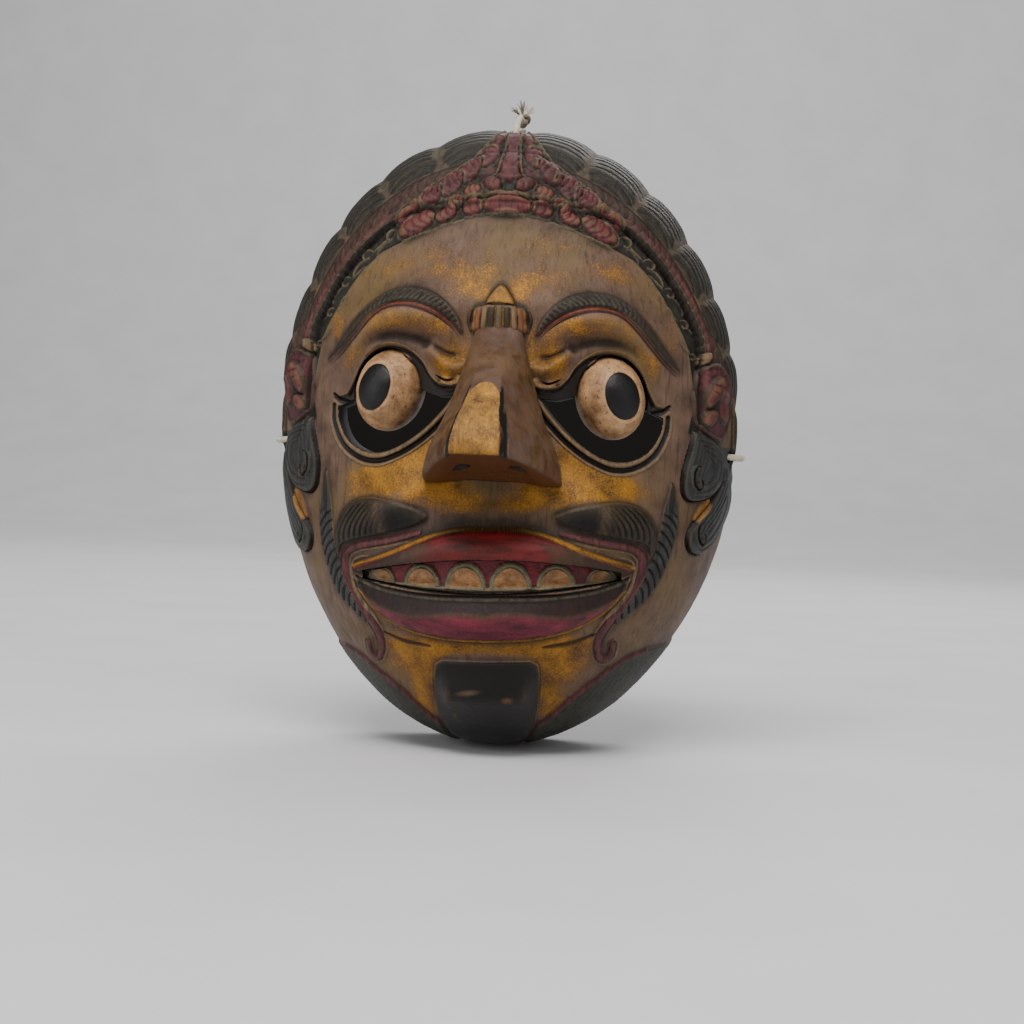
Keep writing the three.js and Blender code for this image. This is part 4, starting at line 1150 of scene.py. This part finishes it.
shelf_line = -rise + 1.0 + 2.6 * (np.abs(across) / half_teeth) ** 2.2
carving += 0.8 * np.exp(-((up - shelf_line) / 0.55) ** 2)
tooth_marks["filler"] = np.maximum(np.exp(-((up - shelf_line) / 0.7) ** 2),
                                   0.7 * smooth(31, 35, np.abs(across)))
carving += 0.2 * ripples(across, nothing, up, 8, 3) + 0.10 * ripples(across, nothing, up, 9, 0.9)
tooth_marks["painted"] = np.ones(across.shape)
edge_fade = smooth(1.0, 0.93, np.abs(share_up))
bed = bed + (carving - 0.2) * edge_fade
bowl = dome_depth(across, MOUTH_LEVEL + up, -RIM_WALL, -FRONT_WALL) + 0.4
bowl = np.minimum(bowl, bed - 2)
x, z = on_mouth(across, up)
teeth_front = np.stack([x, -bed, z], -1)
teeth_back = np.stack([x, -bowl, z], -1)
sheet = np.concatenate([teeth_front, teeth_back[::-1]]).transpose(1, 0, 2)
teeth = grid_body("tooth_row_carved", sheet, {
    name: np.append(np.concatenate([mark, nothing]).T.ravel(), (0, 0))
    for name, mark in tooth_marks.items()})
outward_normals(teeth)

# How far along the peg each ring is and its width, with rounded ends.
PEG_STEPS = np.concatenate([[0, 0.012, 0.03], np.linspace(0.06, 0.94, 30), [0.97, 0.988, 1]])
PEG_WIDTHS = np.concatenate([[0.72, 0.9, 1.0], np.ones(30), [1.0, 0.9, 0.72]])
pegs = {}
for node in EYE_PEGS + NOSE_PEGS:
    back, tip = peg_ends(node)
    turn = np.linspace(0, 2 * math.pi, 40, endpoint=False)
    rings = []
    for step, width in zip(PEG_STEPS, PEG_WIDTHS):
        facets = 0.03 * (1 + np.cos(9 * turn + 1.3 * math.sin(7 * step))) / 2
        whittled = box_radius(node) * width * (1 - facets)
        y = np.full(len(turn), back[1] + (tip - back)[1] * step)
        rings.append(np.stack([back[0] + whittled * np.cos(turn), y,
                               back[2] + whittled * np.sin(turn)], 1))
    pegs[node] = outward_normals(grid_body(node + "_whittled", np.array(rings)))

# ---------------------------------------------------------------- cords and knots

HANGING_ROUTE = [(0, y, RIM_TOP + up) for y, up in (
    (-5.9, 3.0), (-9.5, 2.5), (-15, 2.1), (-20.5, 0.4), (-25.5, -2.2), (-28.8, -4.9), (-28.3, -7.3),
    (-25.6, -10.6), (-22.2, -15.3), (-19.9, -18.2), (-16.6, -18.4), (-11.5, -14.2), (-6, -11.9),
    (-2.8, -10.9), (-1.5, -8), (-1.5, -4), (-1.5, -0.6), (-2.2, 0.9))]
strap_knot_x, strap_knot_y, _ = box_middle("strap_knot_right")
knot_radius = box_radius("strap_knot_right")
STRAP_HALF = ((strap_knot_x, SIDE_HOLE_Z - knot_radius - 0.3), (strap_knot_x - 0.6, SIDE_HOLE_Z - 8),
              (50.5, -22), (46, -34), (39.5, -46), (31, -56.5), (20.5, -64.5), (9.5, -68.8), (0, -70))
strap_route = [(-x, strap_knot_y, z) for x, z in STRAP_HALF]
strap_route += [(x, strap_knot_y, z) for x, z in STRAP_HALF[-2::-1]]


def tie_route(way):
    """From the strap's knot out through the side hole and back in over the rim."""
    points = ((HALF_WIDTH - RIM_WALL - 5.5, -2.4), (HALF_WIDTH - RIM_WALL - 1, -1.5), (HALF_WIDTH - 1, -1.5),
              (HALF_WIDTH + 1.4, -2.6), (HALF_WIDTH + 1.6, -6), (HALF_WIDTH + 0.8, -12),
              (side_hole_x + 1.6, SIDE_HOLE_Y + 1.2), (side_hole_x - 1, SIDE_HOLE_Y),
              (side_hole_x - 6, SIDE_HOLE_Y), (side_hole_x - RIM_WALL - 2.8, SIDE_HOLE_Y + 0.3),
              (side_hole_x - RIM_WALL - 5.2, SIDE_HOLE_Y + 4), (HALF_WIDTH - RIM_WALL - 8, -10))
    return [(way * x, y, SIDE_HOLE_Z) for x, y in points]


PLIES = 3


def cord(name, route, fineness=10):
    """A three-ply cotton cord."""
    return tube(name, curve(route, fineness), CORD_RADIUS * 0.99, 24, lobes=PLIES, twist=0.62, depth=0.16)


def knot(name, node, thickness=0.95):
    """A pulled-tight overhand knot that fills the node's box."""
    t = np.linspace(0, 2 * math.pi, 120, endpoint=False)
    loop = np.stack([np.sin(t) + 2 * np.sin(2 * t), 0.95 * np.sin(3 * t),
                     np.cos(t) - 2 * np.cos(2 * t)], 1)
    loop = joined_up(loop / (3.0, 1.3, 3.0) * (box_radius(node) - thickness))
    return tube(name, box_middle(node) + loop, thickness, 16, lobes=PLIES, twist=1.0, depth=0.14)


cords = {"hanging_cord": cord("hanging_cord_cotton", HANGING_ROUTE),
         "head_strap": cord("head_strap_cotton", strap_route, 14)}
knots = {"hanging_knot": knot("hanging_knot_twine", "hanging_knot", 0.9)}
for name, way in SIDES.items():
    cords[f"rim_tie_{name}"] = cord(f"rim_tie_{name}_cotton", tie_route(way))
    knots[f"strap_knot_{name}"] = knot(f"strap_knot_{name}_cotton", f"strap_knot_{name}")

FRAYED_ENDS = ((-3.0, -0.6, 4.2), (-0.6, -1.2, 6.0), (2.2, 0.4, 5.0))  # aside, back, up
STRANDS = 9
top_knot = np.array([0, -3, RIM_TOP + knot_radius + 1.2])
frays = {}
random = np.random.default_rng(17)
for number, (aside, backward, height) in enumerate(FRAYED_ENDS, 1):
    foot = top_knot + (0.45 * aside, backward, knot_radius * 0.75)
    tip = top_knot + (1.5 * aside, 2 * backward, height)
    strands = []
    for _ in range(STRANDS):
        away = random.normal(size=3) * (0.75, 0.5, 0.3)
        bow = random.normal(size=3) * 0.35
        reach = random.uniform(0.7, 1.0)
        points = [foot + 0.12 * away, foot + (tip - foot) * 0.3 * reach + 0.3 * away,
                  foot + (tip - foot) * 0.65 * reach + 0.7 * away + bow,
                  foot + (tip - foot) * reach + 1.2 * away]
        thick = random.uniform(0.16, 0.3)
        strands.append(tube("strand", curve(points, 8), thick, 8, taper=lambda t: 1 - 0.75 * t))
    frays[f"frayed_end_{number}"] = merged(f"frayed_end_{number}_twine", strands)

# ---------------------------------------------------------------- finishes


class Wire:
    """A shader socket that can be used like a number."""

    def __init__(self, finish, socket):
        self.finish, self.socket = finish, socket

    def __add__(self, other):
        return self.finish.math("ADD", self, other)

    def __sub__(self, other):
        return self.finish.math("SUBTRACT", self, other)

    def __rsub__(self, other):
        return self.finish.math("SUBTRACT", other, self)

    def __mul__(self, other):
        return self.finish.math("MULTIPLY", self, other)

    __radd__ = __add__
    __rmul__ = __mul__


def hue(code):
    """A #rrggbb colour in linear light."""
    values = [int(code[k:k + 2], 16) / 255 for k in (1, 3, 5)]
    return (*[v / 12.92 if v <= 0.04045 else ((v + 0.055) / 1.055) ** 2.4 for v in values], 1)


class Finish:
    """A material whose nodes are made from expressions."""

    def __init__(self, name, **constants):
        self.material = bpy.data.materials.new(name)
        self.material.use_nodes = True
        self.tree = self.material.node_tree
        self.tree.nodes.clear()
        self.shader = self.tree.nodes.new("ShaderNodeBsdfPrincipled")
        output = self.tree.nodes.new("ShaderNodeOutputMaterial")
        self.tree.links.new(self.shader.outputs[0], output.inputs["Surface"])
        for socket, value in constants.items():
            self.shader.inputs[socket.replace("_", " ")].default_value = value
        self.spot = self.node("ShaderNodeTexCoord", out="Object")

    def node(self, kind, settings=None, inputs=None, out=0):
        made = self.tree.nodes.new(kind)
        for setting, value in (settings or {}).items():
            setattr(made, setting, value)
        for socket, value in (inputs or {}).items():
            if isinstance(value, Wire):
                self.tree.links.new(value.socket, made.inputs[socket])
            else:
                made.inputs[socket].default_value = value
        return Wire(self, made.outputs[out])

    def math(self, operation, a, b, clamp=False):
        return self.node("ShaderNodeMath", {"operation": operation, "use_clamp": clamp}, {0: a, 1: b})

    def clamped(self, value):
        return self.math("ADD", value, 0.0, clamp=True)

    def ramp(self, value, start, steepness):
        """0 up to start, then rising to 1."""
        return self.clamped((value - start) * steepness)

    def mark(self, name):
        return self.node("ShaderNodeAttribute", {"attribute_name": name}, out="Fac")

    def noise(self, size, stretch=(1, 1, 1), detail=3.0, roughness=0.55):
        """Clouds about size millimetres across; a stretch below 1 draws them out that way."""
        scaled = self.node("ShaderNodeVectorMath", {"operation": "MULTIPLY"},
                           {0: self.spot, 1: [s / (size * MM) for s in stretch]})
        return self.node("ShaderNodeTexNoise", inputs={
            "Vector": scaled, "Scale": 1.0, "Detail": detail, "Roughness": roughness})

    def mix(self, low, high, share):
        """From one colour to another; each is a #rrggbb code or a wire."""
        low, high = (hue(colour) if isinstance(colour, str) else colour for colour in (low, high))
        return self.node("ShaderNodeMix", {"data_type": "RGBA"}, {0: share, 6: low, 7: high}, out=2)

    def patchy(self, mask, noise, spread, sharpness=4.0):
        """A mask whose edge and body are broken up by noise."""
        return self.clamped((mask - 0.5 + (noise - 0.5) * spread) * sharpness + 0.5)

    def surface(self, colour, roughness, height, lift, metallic=None):
        """Joins up the shader; lift is how deep the height goes, in millimetres."""
        bump = self.node("ShaderNodeBump", inputs={
            "Strength": 1.0, "Distance": lift * MM, "Height": height})
        wires = {"Base Color": colour, "Roughness": roughness, "Normal": bump}
        if metallic is not None:
            wires["Metallic"] = metallic
        for socket, wire in wires.items():
            self.tree.links.new(wire.socket, self.shader.inputs[socket])
        return self.material


# Paints, and painted shades, whose edges are hardly worn.
STURDY_PAINTS = ("hair", "slate", "chin_black", "maroon", "black", "lid_paint_and_shade", "leaf", "crimson", "lip",
                 "lip_painted_shade", "rope")


def wood_colour(finish, grain, mottle):
    return finish.mix(finish.mix("#5d4128", "#a07c50", grain), "#3c2817", mottle * 0.55)


def skin_colour(finish, grain, fine, mottle, blotch):
    """The thin tan paint of the face, yellowed and dirty in places."""
    tan = finish.mix("#614a3b", "#3a2b23", finish.ramp(mottle, 0.35, 2.4))
    tan = finish.mix(tan, "#64502c", finish.ramp(blotch, 0.45, 3.0))
    tan = finish.mix(tan, "#20130b", finish.ramp(grain, 0.52, 2.8))
    return finish.mix(tan, "#84694c", finish.ramp(fine, 0.6, 1.8))


RIM_FACING = 0.93


def paint_front():
    finish = Finish("carved_paint", IOR=1.5, Specular_IOR_Level=0.26)
    grain = finish.noise(1.3, (1, 1, 0.10), 4)
    streak = finish.noise(2.4, (0.16, 1, 1), 4)
    fine = finish.noise(0.5, detail=5, roughness=0.7)
    mottle = finish.noise(6.0, detail=4)
    blotch = finish.noise(26.0, detail=2)
    colour = skin_colour(finish, grain, fine, mottle, blotch)
    rough = mottle * 0.16 + 0.46
    for name, (dark, light, worn, roughness) in PAINT_TABLE.items():
        body = streak if name in ("crimson", "lip", "gold") else grain
        breaks = fine * 0.65 + mottle * 0.35 if name == "gold" else fine * 0.6 + body * 0.4
        coat = finish.patchy(finish.mark(name), breaks, worn, 2.2 if name in ("gold", "lip_painted_shade") else 4.0)
        cloud = mottle * 0.45 + fine * 0.55 if name == "gold" else body * 0.6 + fine * 0.4
        tone = finish.mix(dark, light, finish.ramp(cloud, 0.36, 3.4))
        colour = finish.mix(colour, tone, coat)
        rough = rough + coat * (roughness - rough)
        if name == "gold":
            metal = coat * 0.22
    # Darker in the grooves and low ground of the carving: grime and painted shade.
    dirt_and_shade = finish.clamped(finish.mark("groove") * (0.7 + mottle * 0.6))
    colour = finish.mix(colour, "#140d08", dirt_and_shade * 0.82)
    worn_edge = finish.clamped((finish.mark("edge") - 0.3 + (fine - 0.5) * 0.8) * 1.6)
    covered = sum(finish.mark(name) for name in STURDY_PAINTS)
    colour = finish.mix(colour, "#7a6244", worn_edge * (0.34 - finish.clamped(covered) * 0.27))
    # Bare wood inside and on the flat rim, which faces straight back; the walls of the cuts, neither coated
    # nor inside, are near black: stain and painted shade in the slots, sockets, mouth and holes.
    facing = finish.node("ShaderNodeNewGeometry", out="Normal")
    back = finish.node("ShaderNodeSeparateXYZ", inputs={0: facing}, out=1)
    coated = finish.clamped(finish.mark("painted") * 3 - 2) * finish.clamped((RIM_FACING - back) * 12)
    bare = finish.mix("#0e0a07", wood_colour(finish, grain, mottle), finish.mark("inside"))
    bare = finish.mix(bare, wood_colour(finish, grain, mottle), finish.ramp(back, RIM_FACING, 12))
    colour = finish.mix(bare, colour, coated)
    height = grain * 0.6 + fine * 0.5 + mottle * 0.5
    return finish.surface(colour, finish.clamped(rough + (1 - coated) * 0.25), height, 0.30, metal * coated)


def paint_nose():
    finish = Finish("nose_paint", IOR=1.5, Specular_IOR_Level=0.3)
    grain = finish.noise(1.3, (1, 1, 0.10), 4)
    fine = finish.noise(0.5, detail=5, roughness=0.7)
    mottle = finish.noise(5.0, detail=4)
    blotch = finish.noise(18.0, detail=2)
    colour = skin_colour(finish, grain, fine, mottle, blotch)
    colour = finish.mix(colour, "#3a2a24", 0.3)
    streaks = finish.ramp(grain * 0.6 + blotch * 0.3 + mottle * 0.3, 0.56, 5)
    colour = finish.mix(colour, "#7a4c14", streaks * 0.8)
    gilt = finish.patchy(finish.mark("facet"), fine * 0.5 + mottle * 0.5, 1.1)
    gold = finish.mix("#2e1706", "#b98432", finish.ramp(fine * 0.4 + mottle * 0.6, 0.36, 3.4))
    colour = finish.mix(colour, gold, gilt)
    dirt_and_shade = finish.ramp(blotch * 0.35 + mottle * 0.5 + grain * 0.35, 0.58, 6)
    colour = finish.mix(colour, "#1a0d06", dirt_and_shade * 0.8)
    colour = finish.mix(colour, "#0c0704", finish.patchy(finish.mark("crease"), mottle, 1.6))
    # The underside is darker: brown paint and painted shade under the nose.
    under = finish.patchy(finish.mark("under"), fine, 0.8)
    colour = finish.mix(colour, finish.mix("#1a0c05", "#6a3c16", fine), under)
    # Uncoated places, the nostril bores and the glued back, are near black: painted shade in the nostrils.
    coated = finish.clamped(finish.mark("painted") * 3 - 2)
    colour = finish.mix(finish.mix("#080503", "#2c1c0f", grain), colour, coated)
    rough = 0.5 - gilt * 0.14 + mottle * 0.1
    return finish.surface(colour, rough, grain * 0.7 + fine * 0.5 + mottle * 0.7, 0.34, gilt * 0.2)


def paint_eyes():
    finish = Finish("eye_paint", IOR=1.5, Specular_IOR_Level=0.3)
    fine = finish.noise(0.55, detail=5, roughness=0.75)
    speck = finish.noise(0.9, detail=2)
    mottle = finish.noise(3.4, detail=4)
    blotch = finish.noise(9.0, detail=2)
    colour = finish.mix("#bd946a", "#6f4d30", finish.ramp(mottle * 0.6 + blotch * 0.6, 0.44, 3.0))
    colour = finish.mix(colour, "#d6b088", finish.ramp(fine, 0.55, 3))
    colour = finish.mix(colour, "#3d2413", finish.ramp(speck, 0.56, 6) * 0.8)
    colour = finish.mix(colour, "#c4a27a", finish.patchy(finish.mark("pupil_rim"), fine, 1.1) * 0.2)
    pupil = finish.patchy(finish.mark("pupil"), fine, 0.7, 6.0)
    black = finish.mix("#030202", "#0c0a08", fine)
    colour = finish.mix(colour, black, pupil)
    coated = finish.clamped(finish.mark("painted") * 3 - 1)
    colour = finish.mix("#1a110b", colour, coated)
    return finish.surface(colour, 0.46 - pupil * 0.12 + mottle * 0.1, fine * 0.5 + mottle * 0.6, 0.22)


def paint_teeth():
    finish = Finish("tooth_paint", IOR=1.5, Specular_IOR_Level=0.4)
    fine = finish.noise(0.5, detail=5, roughness=0.75)
    mottle = finish.noise(2.6, detail=4)
    colour = finish.mix("#1d100c", "#4a2c20", mottle)
    paints = (("gum", "#1c0406", "#781622", 0.9), ("tooth", "#38200f", "#b07e4c", 1.3),
              ("arch", "#2a281c", "#7a7355", 0.7), ("filler", "#2c271c", "#8c8264", 1.4))
    for name, dark, light, worn in paints:
        tone = finish.mix(dark, light, finish.ramp(fine * 0.5 + mottle * 0.5, 0.3, 2.5))
        colour = finish.mix(colour, tone, finish.patchy(finish.mark(name), fine, worn))
    bare = wood_colour(finish, finish.noise(0.6, (1, 0.08, 1), 4), mottle)
    colour = finish.mix(bare, colour, finish.clamped(finish.mark("painted") * 3 - 1))
    return finish.surface(colour, 0.42 + mottle * 0.2, fine * 0.6 + mottle * 0.5, 0.18)


def bare_wood():
    finish = Finish("bare_wood", IOR=1.5)
    grain = finish.noise(0.6, (1, 0.08, 1), 4)
    mottle = finish.noise(3.0, detail=3)
    return finish.surface(wood_colour(finish, grain, mottle), 0.62 + mottle * 0.2, grain, 0.1)


def spun_fibre(name, dark, light, soil_and_shade):
    finish = Finish(name, IOR=1.45, Sheen_Weight=0.25, Sheen_Roughness=0.6)
    fibre = finish.noise(0.22, detail=4, roughness=0.7)
    clump = finish.noise(2.5, detail=3)
    colour = finish.mix(dark, light, finish.ramp(fibre, 0.3, 2.2))
    colour = finish.mix(colour, soil_and_shade, finish.ramp(clump, 0.5, 2.4))
    return finish.surface(colour, 0.86 - fibre * 0.1, fibre, 0.12)


looks = {
    "painted_wood": paint_front(), "nose_paint": paint_nose(), "tooth_paint": paint_teeth(),
    "eye_paint": paint_eyes(), "bare_wood": bare_wood(),
    "cotton_cord": spun_fibre("cotton_cord", "#8f8468", "#e2d8bf", "#75684d"),
    "brown_twine": spun_fibre("brown_twine", "#4a3c26", "#8f7c58", "#2e2417"),
}


def dress(piece, material):
    piece.data.materials.clear()
    piece.data.materials.append(material)


# ---------------------------------------------------------------- what each piece stands for

stands_for = {"mask_shell": (shell, "painted_wood"), "nose": (nose, "nose_paint"),
              "tooth_row": (teeth, "tooth_paint")}
stands_for.update({f"eyeball_{name}": (piece, "eye_paint") for name, piece in eyeballs.items()})
stands_for.update({node: (piece, "bare_wood") for node, piece in pegs.items()})
stands_for.update({node: (piece, "cotton_cord") for node, piece in {**cords, **knots}.items()})
stands_for.update({node: (piece, "brown_twine") for node, piece in frays.items()})
stands_for["hanging_knot"] = (knots["hanging_knot"], "brown_twine")
for node, (piece, slot) in stands_for.items():
    dress(piece, looks[slot])
    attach(piece, "root")
    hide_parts(node)

dress(frays["frayed_end_3"], looks["cotton_cord"])  # the one end that is paler

strap_line = place(curve(strap_route, 14))

# ---------------------------------------------------------------- floor, light and camera

CAMERA_SIDE, CAMERA_RISE, CAMERA_ROLL = (math.radians(turn) for turn in (4.5, -1.5, 2.4))
CAMERA_DISTANCE = 560.0
LENS, FILM_WIDTH, LENS_SHIFT = 60.86, 36.0, (0.001, -0.0762)


def floor():
    """A pale floor that sweeps up into a backdrop well behind the mask."""
    low, far, bend, reach = shell_low.z - 0.0005, 2.2, 0.9, 12.0
    turn = np.linspace(0, math.pi / 2, 24)
    sweep = zip(far - bend + bend * np.sin(turn), low + bend - bend * np.cos(turn))
    profile = [(-reach, low), *sweep, (far, reach)]
    points = [(x, y, z) for y, z in profile for x in (-reach, reach)]
    faces = [(2 * k, 2 * k + 1, 2 * k + 3, 2 * k + 2) for k in range(len(profile) - 1)]
    mesh = bpy.data.meshes.new("floor")
    mesh.from_pydata(points, [], faces)
    mesh.shade_smooth()
    finish = Finish("pale_floor", IOR=1.4)
    cloth = finish.noise(1.2, detail=3)
    colour = finish.mix("#c9c8ca", "#d6d5d6", finish.noise(60.0, detail=2))
    mesh.materials.append(finish.surface(colour, cloth * 0.1 + 0.8, cloth, 0.05))
    made = in_scene("floor", mesh)


def painted_shade_card():
    """A black card far behind the mask that only the sight slots look out on; it stands in for the shade seen
    through them.
    """
    away = 1.0
    spread = (CAMERA_DISTANCE * MM + away) / (CAMERA_DISTANCE * MM - 0.05)
    middle = -math.tan(CAMERA_SIDE) * away, math.tan(CAMERA_RISE) * -away - RIM_TOP * MM + 0.002
    half_x, half_z = 0.052 * spread, 0.020 * spread
    mesh = bpy.data.meshes.new("painted_shade_card")
    mesh.from_pydata([(middle[0] + a * half_x, away, middle[1] + b * half_z)
                      for a, b in ((-1, -1), (1, -1), (1, 1), (-1, 1))], [], [(0, 1, 2, 3)])
    finish = Finish("painted_shade_card", Base_Color=(0.012, 0.011, 0.010, 1), Roughness=1.0,
                    Specular_IOR_Level=0.0)
    mesh.materials.append(finish.material)
    made = in_scene("painted_shade_card", mesh)


def lamp(name, spot, size, power, colour=(1, 1, 1), aim=None):
    """A panel of light at spot, in metres, that looks at the face unless it has its own aim."""
    data = bpy.data.lights.new(name, "AREA")
    data.shape, data.size, data.size_y = "RECTANGLE", size[0], size[1]
    data.energy, data.color = power, colour
    made = in_scene(name, data)
    made.location = spot
    way = np.array(place([(0, -30, 0)])[0] if aim is None else aim) - np.array(spot)
    made.rotation_euler = Vector(way).to_track_quat("-Z", "Y").to_euler()


def camera():
    c, s = math.cos(CAMERA_RISE), math.sin(CAMERA_RISE)
    back = np.array([math.sin(CAMERA_SIDE) * c, -math.cos(CAMERA_SIDE) * c, s])
    right = np.array([math.cos(CAMERA_SIDE), math.sin(CAMERA_SIDE), 0])
    up = np.cross(back, right)
    c, s = math.cos(CAMERA_ROLL), math.sin(CAMERA_ROLL)
    axes = np.stack([c * right + s * up, c * up - s * right, back], 1)
    data = bpy.data.cameras.new("camera")
    data.lens, data.sensor_width, data.shift_x, data.shift_y = LENS, FILM_WIDTH, *LENS_SHIFT
    made = in_scene("camera", data)
    pose = np.eye(4)
    pose[:3, :3], pose[:3, 3] = axes, place([back * CAMERA_DISTANCE])[0]
    made.matrix_world = Matrix(pose.tolist())
    bpy.context.scene.camera = made


def daylight():
    world = bpy.data.worlds.new("soft_room")
    world.use_nodes = True
    background = world.node_tree.nodes["Background"]
    background.inputs["Color"].default_value = (0.93, 0.94, 0.97, 1)
    background.inputs["Strength"].default_value = 0.33
    bpy.context.scene.world = world


floor()
painted_shade_card()
daylight()
lamp("overhead", (-0.05, -0.70, 0.80), (0.8, 0.45), 15.5, (1, 0.98, 0.95))
lamp("left_fill", (-0.9, -0.7, 0.1), (0.5, 0.7), 5.0)
lamp("right_fill", (0.9, -0.6, 0.2), (0.6, 0.8), 2.0)
lamp("back_glow", (0.2, 0.9, 0.7), (0.8, 0.6), 6.0)
lamp("backdrop_light", (0.0, 0.75, 1.5), (1.6, 0.5), 20.0, aim=(0, 2.2, 0.2))
camera()
